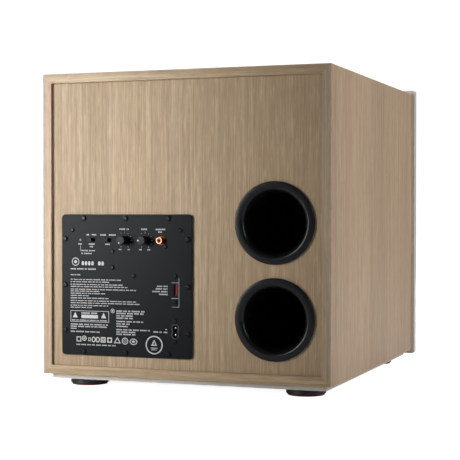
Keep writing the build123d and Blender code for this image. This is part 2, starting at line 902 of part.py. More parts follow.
def amp_plate():
    """The pressed plate that carries every control and socket."""
    plate = slab(plate_size, plate_size, plate_corner_radius, -plate_thickness, 0)
    plate = fillet(plate.edges().group_by(Axis.Y)[-1], plate_edge_round)
    low = -plate_thickness - 1
    for across, up in plate_screw_places():
        plate -= rod(wood_screw_radius + screw_hole_gap, low, 1, across, up)
    for across, up in corner_fixings + transistor_fixings + socket_screw_places():
        plate -= rod(panel_screw_radius + screw_hole_gap, low, 1, across, up)
    plate -= rod(led_radius + fit_gap, low, 1, led_across, controls_row)
    for across in switch_centres:
        plate -= Pos(across, 0, controls_row) * slab(slot_width, slot_height, slot_round, low, 1)
    for across in pot_centres:
        plate -= rod(shaft_radius + shaft_hole_gap, low, 1, across, controls_row)
    plate -= rod(rca_radius + fit_gap, low, 1, input_across, controls_row)
    window = slab(selector_window_width, selector_window_height, slot_round, low, 1)
    plate -= Pos(selector_place[0], 0, selector_place[1]) * window
    nose = inlet_outline(inlet_nose_wall + fit_gap, low, 1)
    plate -= Pos(inlet_place[0], 0, inlet_place[1]) * nose
    return on_plate(plate, 0, 0)


def amp_gasket():
    """Foam seal between the plate and the back."""
    y1 = -plate_thickness
    y0 = y1 - gasket_thickness
    seal = slab(plate_size - 1, plate_size - 1, plate_corner_radius, y0, y1)
    seal -= slab(cutout_size, cutout_size, plate_corner_radius, y0 - 1, y1 + 1)
    for across, up in plate_screw_places():
        seal -= rod(wood_screw_radius + screw_hole_gap, y0 - 1, y1 + 1, across, up)
    return on_plate(seal, 0, 0)


def amp_plate_screws():
    """The black screws round the edge of the plate."""
    length = wood_screw_length + plate_thickness
    one = facing_back(screw(wood_screw_head_radius, wood_screw_head_height, wood_screw_radius, length))
    return group([on_plate(one, across, up) for across, up in plate_screw_places()])


def panel_screws():
    """Machine screws of the circuit board, the transistors and the two sockets."""
    lengths = [(corner_fixings, 9.0), (transistor_fixings, 7.0), (socket_screw_places(), 7.0)]
    screws = []
    for places, length in lengths:
        one = screw(panel_screw_head_radius, panel_screw_head_height, panel_screw_radius, length)
        screws += [on_plate(facing_back(one), across, up) for across, up in places]
    return group(screws)


def amp_chassis():
    """The pressed steel box behind the plate that seals the electronics."""
    y1 = -plate_thickness
    y0 = y1 - chassis_depth
    inside = chassis_size - 2 * chassis_wall
    box = slab(chassis_size, chassis_size, chassis_corner_radius, y0, y1)
    box -= slab(inside, inside, chassis_corner_radius - chassis_wall, y0 + chassis_wall, y1 + 1)
    floor = y0 + chassis_wall + 1
    for side in (-tag_offset, tag_offset):
        box -= rod(lead_radius + lead_hole_gap, y0 - 1, floor, lead_exit_across + side, lead_exit_up)
    box -= rod(clamp_bolt_radius + clamp_bolt_gap, y0 - 1, floor, *transformer_place)
    return on_plate(box, 0, 0)


# ---------------------------------------------------------------- amplifier: electronics
def circuit_board():
    """The board behind the plate that the controls are soldered to."""
    y1 = -plate_thickness - board_gap
    y0 = y1 - board_thickness
    board = block(
        -board_width / 2, board_width / 2, y0, y1,
        board_height_centre - board_height / 2, board_height_centre + board_height / 2,
    )
    for across, up in corner_fixings:
        board -= rod(panel_screw_radius + screw_hole_gap, y0 - 1, y1 + 1, across, up)
    return on_plate(board, 0, 0)


def output_transistors():
    """Power transistors clamped flat against the plate."""
    inner = -plate_thickness
    body = block(
        -transistor_width / 2, transistor_width / 2, inner - transistor_thickness, inner,
        -transistor_height / 2, transistor_height / 2,
    )
    body -= rod(panel_screw_radius + screw_hole_gap / 2, inner - transistor_thickness - 1, inner + 1)
    return group([on_plate(body, across, up) for across, up in transistor_fixings])


def heat_sink():
    """Finned block on the back of the circuit board."""
    y1 = -plate_thickness - board_gap - board_thickness
    half = sink_width / 2
    tall = sink_height / 2
    fin = sink_fin_thickness / 2
    pitch = (sink_width - 2 * sink_fin_thickness) / (sink_fins - 1)
    base = block(-half, half, y1 - sink_base, y1, -tall, tall)
    for number in range(sink_fins):
        x = -half + sink_fin_thickness + pitch * number
        base += block(x - fin, x + fin, y1 - sink_depth, y1 - sink_base, -tall, tall)
    return on_plate(base, *sink_place)


def filter_capacitors():
    """Two large and two small capacitors on the back of the circuit board."""
    y1 = -plate_thickness - board_gap - board_thickness
    cans = []
    for places, size in ((large_capacitor_places, large_capacitor), (small_capacitor_places, small_capacitor)):
        radius, length = size
        can = rod(radius, y1 - length, y1)
        can = fillet(can.edges().group_by(Axis.Y)[0], capacitor_round)
        cans += [on_plate(can, across, up) for across, up in places]
    return group(cans)


def transformer():
    """The wound ring of the mains transformer."""
    base = -chassis_rear + chassis_wall
    thickness = transformer_radius - transformer_eye
    middle = (transformer_radius + transformer_eye) / 2
    section = RectangleRounded(thickness, transformer_height, transformer_round)
    winding = revolve(Pos(middle, base + transformer_height / 2) * section, axis=Axis.Y)
    return on_plate(winding, *transformer_place)


def amp_fixings():
    """The board's threaded pillars, and the washer and bolt that hold the transformer to the chassis."""
    inner = -plate_thickness
    pillar = ring(pillar_radius, panel_screw_radius + screw_hole_gap / 2, inner - board_gap, inner)
    pillars = [on_plate(pillar, across, up) for across, up in corner_fixings]
    base = -chassis_rear
    top = base + chassis_wall + transformer_height
    washer_top = top + clamp_washer_thickness
    clamp = rod(clamp_washer_radius, top, washer_top)
    clamp += rod(clamp_bolt_radius, base - clamp_head_height, washer_top)
    clamp += rod(clamp_nut_radius, washer_top, washer_top + clamp_nut_height)
    clamp += rod(clamp_head_radius, base - clamp_head_height, base)
    return group(pillars + [on_plate(clamp, *transformer_place)])


def potentiometers():
    """The two controls behind the knobs."""
    inner = -plate_thickness
    half = pot_lug_width / 2
    low = -pot_lug_drop
    body = rod(pot_radius, inner - pot_depth, inner)
    body += block(-half, half, inner - board_gap, inner - pot_depth + 1, low, low + pot_lug_height)
    body -= rod(shaft_radius + shaft_fit_gap, inner - shaft_depth - shaft_end_gap, inner + 1)
    return group([on_plate(body, across, controls_row) for across in pot_centres])


def control_shaft(across):
    """The shaft that a knob turns."""
    shaft = rod(shaft_radius, -plate_thickness - shaft_depth, knob_reach - knob_cap)
    return on_plate(shaft, across, controls_row)


def control_knob(across):
    """A small knob with a fluted grip over a plain skirt."""
    radius = knob_diameter / 2
    knob = rod(radius - knob_skirt_width, knob_gap, knob_reach)
    knob = fillet(knob.edges().group_by(Axis.Y)[-1], knob_edge_round)
    knob += rod(radius, knob_gap, knob_gap + knob_skirt)
    low = knob_gap + knob_skirt + knob_flute_margin
    high = knob_reach - knob_cap + 1
    for x, z in ring_places(knob_flutes, radius):
        knob -= rod(knob_flute_radius, low, high, x, z)
    knob -= rod(shaft_radius + shaft_fit_gap, knob_gap - 1, knob_reach - knob_cap + fit_gap)
    return on_plate(knob, across, controls_row)


def slide_switch_bodies():
    """The bodies of the power and the phase switch."""
    inner = -plate_thickness
    body = block(
        -switch_body_width / 2, switch_body_width / 2, inner - board_gap, inner,
        -switch_body_height / 2, switch_body_height / 2,
    )
    pocket_top = inner - slide_roof
    depth = slide_base_thickness + 2 * slide_gap
    half = slot_width / 2 + slide_base_overlap
    tall = slot_height / 2 + slide_base_overlap
    body -= block(-half, half, pocket_top - depth, pocket_top, -tall, tall)
    body -= block(-slot_width / 2, slot_width / 2, pocket_top - 1, inner + 1, -slot_height / 2, slot_height / 2)
    return group([on_plate(body, across, controls_row) for across in switch_centres])


def switch_slider(across):
    """A slider at the +X end of its slot."""
    rest = switch_travel / 2
    base_top = -plate_thickness - slide_roof - slide_gap
    half = nub_width / 2 + slide_base_overlap - slide_gap
    tall = slot_height / 2 + slide_base_overlap - slide_gap
    base = block(-half, half, base_top - slide_base_thickness, base_top, -tall, tall)
    nub_tall = slot_height / 2 - slide_gap
    nub = block(-nub_width / 2, nub_width / 2, base_top - slide_gap, nub_rise, -nub_tall, nub_tall)
    wide = nub_groove_width / 2
    high = nub_tall + 1
    for x in (-nub_groove_pitch, 0.0, nub_groove_pitch):
        nub -= block(x - wide, x + wide, nub_rise - nub_groove_depth, nub_rise + 1, -high, high)
    return on_plate(base + nub, across + rest, controls_row)


def voltage_selector_body():
    """The housing behind the selector's window."""
    inner = -plate_thickness
    ear = selector_screw_pitch / 2 + socket_ear
    side = selector_body_width / 2
    body = block(-side, side, inner - selector_body_depth, inner, -ear, ear)
    half = selector_window_width / 2 + selector_slider_overlap + slide_gap
    tall = selector_window_height / 2 + selector_travel + selector_slider_overlap + slide_gap
    depth = selector_slider_thickness + 2 * slide_gap
    body -= block(-half, half, inner - depth, inner + 1, -tall, tall)
    hole = panel_screw_radius + screw_hole_gap / 2
    for side in (-1, 1):
        body -= rod(hole, inner - socket_screw_depth, inner + 1, 0, side * selector_screw_pitch / 2)
    return on_plate(body, *selector_place)


def voltage_selector_slider():
    """The red slider, seen through the window, with its screwdriver slot."""
    top = -plate_thickness - slide_gap
    half = selector_window_width / 2 + selector_slider_overlap
    tall = selector_window_height / 2 + selector_travel / 2 + selector_slider_overlap
    slider = block(-half, half, top - selector_slider_thickness, top, -tall, tall)
    wide = selector_notch_width / 2
    high = selector_notch_height / 2
    slider -= block(-wide, wide, top - selector_notch_depth, top + 1, -high, high)
    across, up = selector_place
    return on_plate(slider, across, up + selector_travel / 2)


def mains_inlet():
    """The two-pin inlet, held from behind by two screws."""
    inner = -plate_thickness
    half = inlet_body_width / 2
    tall = inlet_body_height / 2
    ear = inlet_screw_pitch / 2 + socket_ear
    body = block(-half, half, inner - inlet_body_depth, inner, -tall, tall)
    body += block(-half, half, inner - inlet_ear_thickness, inner, -ear, ear)
    body += inlet_outline(inlet_nose_wall, inner - 1, inlet_nose_reach)
    body -= inlet_outline(0, inlet_nose_reach - inlet_socket_depth, 2)
    screw_hole = panel_screw_radius + screw_hole_gap / 2
    pin_hole = inlet_pin_radius + fit_gap / 2
    for side in (-1, 1):
        body -= rod(screw_hole, inner - inlet_ear_thickness - 1, inner + 1, 0, side * inlet_screw_pitch / 2)
        body -= rod(pin_hole, inner - inlet_body_depth - 1, 0, 0, side * inlet_pin_spacing / 2)
    return on_plate(body, *inlet_place)


def mains_pins():
    """The inlet's two round pins."""
    tip = inlet_nose_reach - inlet_pin_recess
    pin = rod(inlet_pin_radius, -plate_thickness - inlet_body_depth - inlet_pin_tail, tip)
    pin = fillet(pin.edges().group_by(Axis.Y)[-1], inlet_pin_round)
    places = [inlet_place[1] + side * inlet_pin_spacing / 2 for side in (-1, 1)]
    return group([on_plate(pin, inlet_place[0], up) for up in places])


def rca_shell():
    """The plated shell of the line input."""
    inner = rca_radius - rca_wall
    shell = ring(rca_radius, inner, -plate_thickness, rca_reach)
    shell = fillet(shell.edges().group_by(Axis.Y)[-1], rca_edge_round)
    shell += ring(rca_collar_radius, rca_radius - fit_gap, 0, rca_collar_thickness)
    return on_plate(shell, input_across, controls_row)


def rca_insulator():
    """The red core of the line input and its body behind the plate."""
    inner = -plate_thickness
    half = rca_body_width / 2
    core = rod(rca_radius - rca_wall - fit_gap, inner - 1, rca_reach - rca_core_recess)
    core += block(-half, half, inner - board_gap, inner, -rca_body_below, rca_body_above)
    core -= rod(rca_contact_radius, -rca_contact_depth, rca_reach + 1)
    return on_plate(core, input_across, controls_row)


def status_led():
    """The power light, standing on the circuit board."""
    lamp = rod(led_radius, -plate_thickness - board_gap, led_rise)
    lamp = fillet(lamp.edges().group_by(Axis.Y)[-1], led_round)
    return on_plate(lamp, led_across, controls_row)


# ---------------------------------------------------------------- every sub-part
sub_parts = {
    "top_panel": lambda: shell_panel(0),
    "right_side_panel": lambda: shell_panel(90),
    "bottom_panel": lambda: shell_panel(180),
    "left_side_panel": lambda: shell_panel(270),
    "back_panel": back_panel,
    "front_baffle": front_baffle,
    "inner_baffle": inner_baffle,
    "cross_brace": cross_brace,
    "damping_sheets": damping_sheets,
    "plinth": plinth,
    "feet": feet,
    "foot_pads": foot_pads,
    "foot_screws": foot_screws,
    "upper_port_flare": lambda: port_flare(port_heights[0]),
    "lower_port_flare": lambda: port_flare(port_heights[1]),
    "upper_port_tube": lambda: port_tube(port_heights[0]),
    "lower_port_tube": lambda: port_tube(port_heights[1]),
    "driver_basket": driver_basket,
    "driver_seal": driver_seal,
    "driver_trim_ring": driver_trim_ring,
    "surround": surround,
    "cone": cone,
    "dust_cap": dust_cap,
    "voice_coil": voice_coil,
    "spider": spider,
    "top_plate": lambda: motor_ring(
        top_plate_radius, coil_radius + former_thickness / 2 + winding_thickness + coil_gap,
        motor_front, top_plate_thickness,
    ),
    "magnet": lambda: motor_ring(magnet_radius, magnet_bore_radius, magnet_front, magnet_thickness),
    "yoke": yoke,
    "driver_screws": driver_screws,
    "driver_terminals": driver_terminals,
    "speaker_leads": speaker_leads,
    "grille_frame": grille_frame,
    "grille_cloth": grille_cloth,
    "grille_cups": grille_cups,
    "amp_plate": amp_plate,
    "amp_gasket": amp_gasket,
    "amp_plate_screws": amp_plate_screws,
    "panel_screws": panel_screws,
    "amp_chassis": amp_chassis,
    "circuit_board": circuit_board,
    "output_transistors": output_transistors,
    "heat_sink": heat_sink,
    "filter_capacitors": filter_capacitors,
    "transformer": transformer,
    "amp_fixings": amp_fixings,
    "potentiometers": potentiometers,
    "crossover_shaft": lambda: control_shaft(crossover_across),
    "crossover_knob": lambda: control_knob(crossover_across),
    "volume_shaft": lambda: control_shaft(volume_across),
    "volume_knob": lambda: control_knob(volume_across),
    "slide_switch_bodies": slide_switch_bodies,
    "power_switch_slider": lambda: switch_slider(power_switch_across),
    "phase_switch_slider": lambda: switch_slider(phase_switch_across),
    "voltage_selector_body": voltage_selector_body,
    "voltage_selector_slider": voltage_selector_slider,
    "mains_inlet": mains_inlet,
    "mains_pins": mains_pins,
    "rca_shell": rca_shell,
    "rca_insulator": rca_insulator,
    "status_led": status_led,
}

for node, build in sub_parts.items():
    export_step(build(), f"parts/{node}.step")
print(len(sub_parts), "sub-parts")
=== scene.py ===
import bpy
import bmesh
import math
import random
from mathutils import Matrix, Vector
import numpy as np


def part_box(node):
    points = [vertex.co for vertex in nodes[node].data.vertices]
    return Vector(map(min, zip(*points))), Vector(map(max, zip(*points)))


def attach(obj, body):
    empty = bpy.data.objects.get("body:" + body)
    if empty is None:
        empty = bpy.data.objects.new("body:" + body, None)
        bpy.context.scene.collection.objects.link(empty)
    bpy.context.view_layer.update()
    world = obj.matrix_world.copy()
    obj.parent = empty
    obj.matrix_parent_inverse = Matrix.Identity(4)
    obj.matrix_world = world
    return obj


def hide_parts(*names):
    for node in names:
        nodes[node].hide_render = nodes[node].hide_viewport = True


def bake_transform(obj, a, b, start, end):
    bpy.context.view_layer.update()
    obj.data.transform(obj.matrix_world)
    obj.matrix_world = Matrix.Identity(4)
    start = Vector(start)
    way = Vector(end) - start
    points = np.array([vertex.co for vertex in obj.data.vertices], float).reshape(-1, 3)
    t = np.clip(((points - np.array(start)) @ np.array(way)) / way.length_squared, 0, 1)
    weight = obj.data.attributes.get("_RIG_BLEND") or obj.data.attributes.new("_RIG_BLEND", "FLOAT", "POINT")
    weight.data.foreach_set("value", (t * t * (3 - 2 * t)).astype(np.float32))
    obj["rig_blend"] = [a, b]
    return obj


# A powered subwoofer in an oak-veneered box, seen from behind: finishes, cloth, rubber and print
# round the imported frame. Metres, +Z up, the driver fires towards -Y, the amplifier faces +Y.

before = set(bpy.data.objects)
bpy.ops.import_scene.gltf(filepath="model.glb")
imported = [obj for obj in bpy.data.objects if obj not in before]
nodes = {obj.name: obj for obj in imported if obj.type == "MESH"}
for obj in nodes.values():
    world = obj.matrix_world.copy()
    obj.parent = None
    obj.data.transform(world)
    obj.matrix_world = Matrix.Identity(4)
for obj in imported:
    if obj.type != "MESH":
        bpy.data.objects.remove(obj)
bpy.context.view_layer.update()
mm = 0.001
quarter_turn = math.pi / 2


# ---------------------------------------------------------------- camera, floor and light
camera_place = (-0.6133, 1.7099, 0.2291)
camera_turn = math.radians(20.32)
camera_dip = math.radians(0.91)
camera_lens = 100.6
camera_sensor = 36.0
lamps = [
    # name, place, point aimed at, watts, width, height, spread in degrees
    ("key_lamp", (0.7, 1.1, 0.42), (0.25, 0.22, 0.28), 1.73, 0.4, 0.7, 50),
    ("side_lamp", (-1.9, 0.0, 0.75), (-0.19, -0.05, 0.2), 17.5, 1.0, 1.0, 180),
    ("front_lamp", (0.6, -1.9, 1.1), (0.0, -0.2, 0.2), 30.0, 1.2, 1.2, 180),
    ("top_lamp", (0.2, -0.5, 2.0), (0.0, -0.1, 0.4), 16.0, 1.2, 1.2, 180),
]
sky_strength = 0.05
sky_seen = 1.1
floor_size = 14.0
floor_fade_start = 0.4
floor_fade_end = 1.6
floor_glow_near = 0.92
floor_glow_far = 1.05


def stand(name, data, place, aim):
    """A camera or a lamp in the scene, turned towards its aim."""
    made = bpy.data.objects.new(name, data)
    bpy.context.scene.collection.objects.link(made)
    made.location = place
    made.rotation_euler = aim.to_track_quat("-Z", "Y").to_euler()
    return made


def set_camera():
    """The camera, a little above the plate's height and off to the ports' side."""
    view = bpy.data.cameras.new("view")
    view.lens = camera_lens
    view.sensor_width = camera_sensor
    level = math.cos(camera_dip)
    aim = Vector((math.sin(camera_turn) * level, -math.cos(camera_turn) * level, -math.sin(camera_dip)))
    bpy.context.scene.camera = stand("view", view, camera_place, aim)


def set_lamps():
    """Soft rectangular lamps: a narrow one on the back, and wide ones from the side, the front and above."""
    for name, place, target, watts, width, height, spread in lamps:
        lamp = bpy.data.lights.new(name, "AREA")
        lamp.energy = watts
        lamp.shape = "RECTANGLE"
        lamp.size = width
        lamp.size_y = height
        lamp.spread = math.radians(spread)
        stand(name, lamp, place, Vector(target) - Vector(place))


def set_sky():
    """A plain white surround that looks much brighter than the light it gives."""
    world = bpy.data.worlds.new("surround_light")
    bpy.context.scene.world = world
    world.use_nodes = True
    tree = world.node_tree
    seen = add(tree, "LightPath").outputs["Is Camera Ray"]
    strength = step_between(tree, seen, 0.0, 1.0, sky_strength, sky_seen)
    fill(tree, tree.nodes["Background"], {"Strength": strength, "Color": (1.0, 1.0, 1.0, 1.0)})


def set_floor():
    """A pale floor that the object stands on, which fades into the surround away from it."""
    let_go()
    bpy.ops.mesh.primitive_plane_add(size=floor_size, location=(0, 0, 0))
    floor = bpy.context.object
    floor.name = "floor"
    material, tree = start_material("pale_floor", roughness=0.9)
    place = object_place(tree)
    tone = mix_colours(tree, noise(tree, place, 3.0, 2.0), (0.9, 0.9, 0.9, 1), (0.94, 0.94, 0.94, 1))
    seen = add(tree, "LightPath").outputs["Is Camera Ray"]
    reach = add(tree, "VectorMath", {0: place}, operation="LENGTH").outputs["Value"]
    fade = step_between(tree, reach, floor_fade_start, floor_fade_end, floor_glow_near, floor_glow_far)
    glow = maths(tree, "MULTIPLY", seen, fade)
    fill(tree, tree.nodes["Principled BSDF"], {
        "Base Color": tone, "Emission Color": (1, 1, 1, 1), "Emission Strength": glow,
    })
    floor.data.materials.append(material)


# ---------------------------------------------------------------- shader building
def fill(tree, made, inputs):
    """Fills or links the inputs of a shader node."""
    for name, value in inputs.items():
        if isinstance(value, bpy.types.NodeSocket):
            tree.links.new(value, made.inputs[name])
        else:
            made.inputs[name].default_value = value


def add(tree, kind, inputs=None, **settings):
    """A shader node with its settings made and its inputs filled or linked."""
    made = tree.nodes.new("ShaderNode" + kind)
    for name, value in settings.items():
        setattr(made, name, value)
    fill(tree, made, inputs or {})
    return made


def maths(tree, operation, first, second=0.0):
    """One arithmetic step."""
    return add(tree, "Math", {0: first, 1: second}, operation=operation).outputs[0]


def mix_colours(tree, amount, first, second):
    """The first colour, turning into the second."""
    return add(tree, "Mix", {0: amount, 6: first, 7: second}, data_type="RGBA").outputs[2]


def step_between(tree, value, low, high, start=0.0, end=1.0):
    """A smooth step from start to end while the value goes from low to high."""
    inputs = {"Value": value, "From Min": low, "From Max": high, "To Min": start, "To Max": end}
    return add(tree, "MapRange", inputs, interpolation_type="SMOOTHSTEP").outputs[0]


def noise(tree, vector, scale, detail, roughness=0.5):
    """A cloudy value between 0 and 1."""
    inputs = {"Vector": vector, "Scale": scale, "Detail": detail, "Roughness": roughness}
    return add(tree, "TexNoise", inputs).outputs[0]


def vector_maths(tree, operation, first, second=(0.0, 0.0, 0.0)):
    """One arithmetic step on vectors."""
    return add(tree, "VectorMath", {0: first, 1: second}, operation=operation).outputs[0]


def stretched(tree, vector, factors):
    """The vector with each axis multiplied by its own factor."""
    return vector_maths(tree, "MULTIPLY", vector, factors)


def dimmed(tree, colour, factor):
    """The colour, made darker or brighter by a factor."""
    return add(tree, "VectorMath", {0: colour, "Scale": factor}, operation="SCALE").outputs[0]


def axes(tree, vector):
    """The vector's parts along X, Y and Z."""
    return add(tree, "SeparateXYZ", {0: vector}).outputs


def object_place(tree):
    """The place on the object, in metres."""
    return add(tree, "TexCoord").outputs["Object"]


def start_group(name, inputs, outputs):
    """A shader node group with named sockets."""
    kinds = {"value": "NodeSocketFloat", "vector": "NodeSocketVector", "colour": "NodeSocketColor"}
    group = bpy.data.node_groups.new(name, "ShaderNodeTree")
    for label, kind in inputs:
        group.interface.new_socket(label, in_out="INPUT", socket_type=kinds[kind])
    for label, kind in outputs:
        group.interface.new_socket(label, in_out="OUTPUT", socket_type=kinds[kind])
    return group, group.nodes.new("NodeGroupInput").outputs, group.nodes.new("NodeGroupOutput").inputs


def put_out(group, result, **values):
    """Links what a shader node group puts out."""
    for name, value in values.items():
        group.links.new(value, result[name])


def along_grain(tree, place, stretch, scale, detail, roughness=0.5):
    """Noise drawn out along Z, the longer the smaller its stretch."""
    return noise(tree, stretched(tree, place, (1.0, 1.0, stretch)), scale, detail, roughness)


leaf_width = 82 * mm


def make_oak_grain():
    """Straight oak grain along Z: bands, streaks, dashes and open pores, cut in leaves of veneer that are
    each dimmed, as real leaf tone and, on the back, as painted shade.
    """
    group, given, result = start_group(
        "Oak grain",
        [("Vector", "vector"), ("Pale", "colour"), ("Deep", "colour"), ("Ruddy", "colour"),
         ("Darkest leaf and shade", "value")],
        [("Color", "colour"), ("Roughness", "value"), ("Height", "value")],
    )
    pale, deep = given["Pale"], given["Deep"]
    wander = along_grain(group, given["Vector"], 0.35, 9.0, 2.0)
    drift = add(group, "CombineXYZ", {0: maths(group, "MULTIPLY", wander, 0.012)}).outputs[0]
    place = vector_maths(group, "ADD", given["Vector"], drift)
    bands = along_grain(group, place, 0.04, 22.0, 2.0)
    warmth = along_grain(group, place, 0.05, 34.0, 1.0)
    streaks = along_grain(group, place, 0.012, 330.0, 4.0, 0.65)
    threads = along_grain(group, place, 0.01, 980.0, 3.0, 0.65)
    dashes = along_grain(group, place, 0.06, 520.0, 3.0, 0.6)
    pores = step_between(group, along_grain(group, place, 0.035, 1500.0, 2.0), 0.58, 0.7)
    tone = pale
    for value, low, high, start, end, colour in (
        (streaks, 0.34, 0.66, 0.0, 0.72, deep),
        (bands, 0.42, 0.66, 0.0, 0.3, deep),
        (warmth, 0.46, 0.62, 0.0, 0.5, given["Ruddy"]),
        (threads, 0.4, 0.68, 0.0, 0.6, deep),
        (dashes, 0.53, 0.68, 0.0, 0.55, deep),
        (dashes, 0.32, 0.46, 0.4, 0.0, stretched(group, pale, (1.12, 1.14, 1.16))),
    ):
        tone = mix_colours(group, step_between(group, value, low, high, start, end), tone, colour)
    hollow = stretched(group, deep, (0.6, 0.58, 0.55))
    tone = mix_colours(group, maths(group, "MULTIPLY", pores, 0.45), tone, hollow)
    x, y = axes(group, place)[:2]
    # Each leaf of veneer is dimmed by a random amount: real leaf-to-leaf tone, and on the back, with its
    # shift and lower floor, darker leaves set where the back lies in shade, as painted shade.
    leaf = maths(group, "FLOOR", maths(group, "DIVIDE", maths(group, "ADD", x, y), leaf_width))
    cut = add(group, "TexWhiteNoise", {"W": leaf}, noise_dimensions="1D").outputs["Value"]
    tone = dimmed(group, tone, step_between(group, cut, 0.0, 1.0, given["Darkest leaf and shade"], 1.05))
    gloss = step_between(group, streaks, 0.3, 0.7, 0.44, 0.58)
    rough = maths(group, "ADD", gloss, maths(group, "MULTIPLY", pores, 0.12))
    relief = maths(group, "SUBTRACT", maths(group, "MULTIPLY", threads, 0.5), pores)
    put_out(group, result, Color=tone, Roughness=rough, Height=relief)
    return group


def make_wandering_tone():
    """A tone, gloss and relief that wander over a moulded, painted or machined surface."""
    group, given, result = start_group(
        "Wandering tone",
        [("Vector", "vector"), ("Tone", "colour"), ("Vary", "value"), ("Scale", "value"),
         ("Gloss", "value"), ("Spread", "value")],
        [("Color", "colour"), ("Roughness", "value"), ("Height", "value")],
    )
    cloud = noise(group, given["Vector"], given["Scale"], 4.0, 0.6)
    fine = noise(group, given["Vector"], maths(group, "MULTIPLY", given["Scale"], 11.0), 3.0, 0.6)
    both = maths(group, "ADD", maths(group, "MULTIPLY", cloud, 0.7), maths(group, "MULTIPLY", fine, 0.3))
    swing = maths(group, "MULTIPLY", maths(group, "SUBTRACT", both, 0.5), given["Vary"])
    tone = dimmed(group, given["Tone"], maths(group, "ADD", swing, 1.0))
    gloss = maths(group, "MULTIPLY", maths(group, "SUBTRACT", cloud, 0.5), given["Spread"])
    put_out(group, result, Color=tone, Roughness=maths(group, "ADD", given["Gloss"], gloss), Height=fine)
    return group


def make_edge_wear_and_highlight():
    """A mask that is 1 along the edges of a box, broken up by noise: edges lightened by handling wear and by
    a painted highlight.
    """
    group, given, result = start_group(
        "Edge wear and highlight",
        [("Vector", "vector"), ("Centre", "vector"), ("Half", "vector"), ("Width", "value")],
        [("Mask", "value")],
    )
    offset = vector_maths(group, "SUBTRACT", given["Vector"], given["Centre"])
    inset = vector_maths(group, "SUBTRACT", given["Half"], vector_maths(group, "ABSOLUTE", offset))
    x, y, z = axes(group, inset)
    low = maths(group, "MINIMUM", x, y)
    high = maths(group, "MAXIMUM", x, y)
    edge = maths(group, "MAXIMUM", low, maths(group, "MINIMUM", high, z))
    near = maths(group, "SUBTRACT", 1.0, maths(group, "DIVIDE", edge, given["Width"]))
    # Patchy lightened edges: handling wear together with a painted highlight where edges catch the light.
    patchy = step_between(group, noise(group, given["Vector"], 70.0, 4.0, 0.7), 0.35, 0.6)
    mask = maths(group, "MAXIMUM", maths(group, "MULTIPLY", near, patchy), 0.0)
    put_out(group, result, Mask=maths(group, "MINIMUM", mask, 1.0))
    return group


def make_woven():
    """Plain weave on a flat pattern: a mask and a height, each thread rounded over its neighbour."""
    group, given, result = start_group(
        "Woven", [("Vector", "vector"), ("Pitch", "value")], [("Thread", "value"), ("Height", "value")]
    )
    x, y = axes(group, given["Vector"])[:2]
    across = maths(group, "DIVIDE", x, given["Pitch"])
    along = maths(group, "DIVIDE", y, given["Pitch"])
    warp = maths(group, "ABSOLUTE", maths(group, "SINE", maths(group, "MULTIPLY", across, math.pi)))
    weft = maths(group, "ABSOLUTE", maths(group, "SINE", maths(group, "MULTIPLY", along, math.pi)))
    cell = add(group, "CombineXYZ", {0: across, 1: along, 2: 0.5}).outputs[0]
    over = add(group, "TexChecker", {"Vector": cell, "Scale": 1.0}).outputs["Fac"]
    under = maths(group, "SUBTRACT", 1.0, over)
    height = maths(group, "ADD", maths(group, "MULTIPLY", warp, over), maths(group, "MULTIPLY", weft, under))
    slub = step_between(group, noise(group, given["Vector"], 260.0, 3.0), 0.2, 0.8, 0.7, 1.1)
    put_out(group, result, Thread=maths(group, "MULTIPLY", height, slub), Height=height)
    return group


oak_grain = make_oak_grain()
wandering_tone = make_wandering_tone()
edge_wear_and_highlight = make_edge_wear_and_highlight()
woven = make_woven()


# ---------------------------------------------------------------- finishes
def start_material(name, roughness=0.5, **sockets):
    """A material with one shader, whose even values sit on its own sockets, and its tree."""
    material = bpy.data.materials.new(name)
    material.use_nodes = True
    tree = material.node_tree
    even = {label.replace("_", " "): value for label, value in sockets.items()}
    fill(tree, tree.nodes["Principled BSDF"], {"Roughness": roughness, **even})
    return material, tree


def link_surface(material, colour, roughness, height, strength, depth):
    """Feeds a material's colour, roughness and relief into its shader, and hands the material on."""
    tree = material.node_tree
    bump = add(tree, "Bump", {"Strength": strength, "Distance": depth, "Height": height}).outputs[0]
    fill(tree, tree.nodes["Principled BSDF"], {"Base Color": colour, "Roughness": roughness, "Normal": bump})
    return material


def plain(name, tone, gloss, vary=0.25, spread=0.12, scale=55.0, strength=0.25, depth=0.15 * mm,
          stretch=(1.0, 1.0, 1.0), edges_of=None, edge_tone=None, edge_width=1.5 * mm, **sockets):
    """A moulded, painted or machined finish, with edge wear and a painted edge highlight where it names a
    boxy node.
    """
    material, tree = start_material(name, **sockets)
    place = object_place(tree)
    surface = add(tree, "Group", {
        "Vector": stretched(tree, place, stretch), "Tone": (*tone, 1.0), "Vary": vary, "Scale": scale,
        "Gloss": gloss, "Spread": spread,
    }, node_tree=wandering_tone).outputs
    colour = surface["Color"]
    if edges_of:
        # Edges mixed towards the lighter edge tone: painted highlight along the edges, with handling wear.
        colour = mix_colours(tree, edge_mask(tree, place, [edges_of], edge_width), colour, edge_tone)
    return link_surface(material, colour, surface["Roughness"], surface["Height"], strength, depth)


def edge_mask(tree, place, names, width):
    """Where the edges of the box round these nodes show wear and a painted highlight."""
    low, high = box_round(*names)
    return add(tree, "Group", {
        "Vector": place, "Centre": (low + high) / 2, "Half": (high - low) / 2, "Width": width,
    }, node_tree=edge_wear_and_highlight).outputs["Mask"]


def extent(points):
    """The lowest and highest corners of the box round some points."""
    points = list(points)
    low = Vector([min(point[axis] for point in points) for axis in range(3)])
    high = Vector([max(point[axis] for point in points) for axis in range(3)])
    return low, high


def box_round(*names):
    """The lowest and highest corners of the box round some nodes."""
    return extent(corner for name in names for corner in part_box(name))


def centre_of(name):
    """The middle of a node's box."""
    low, high = box_round(name)
    return (low + high) / 2


def half_width(name):
    """Half of a node's width, which is the outer radius of a round one."""
    low, high = box_round(name)
    return (high.x - low.x) / 2


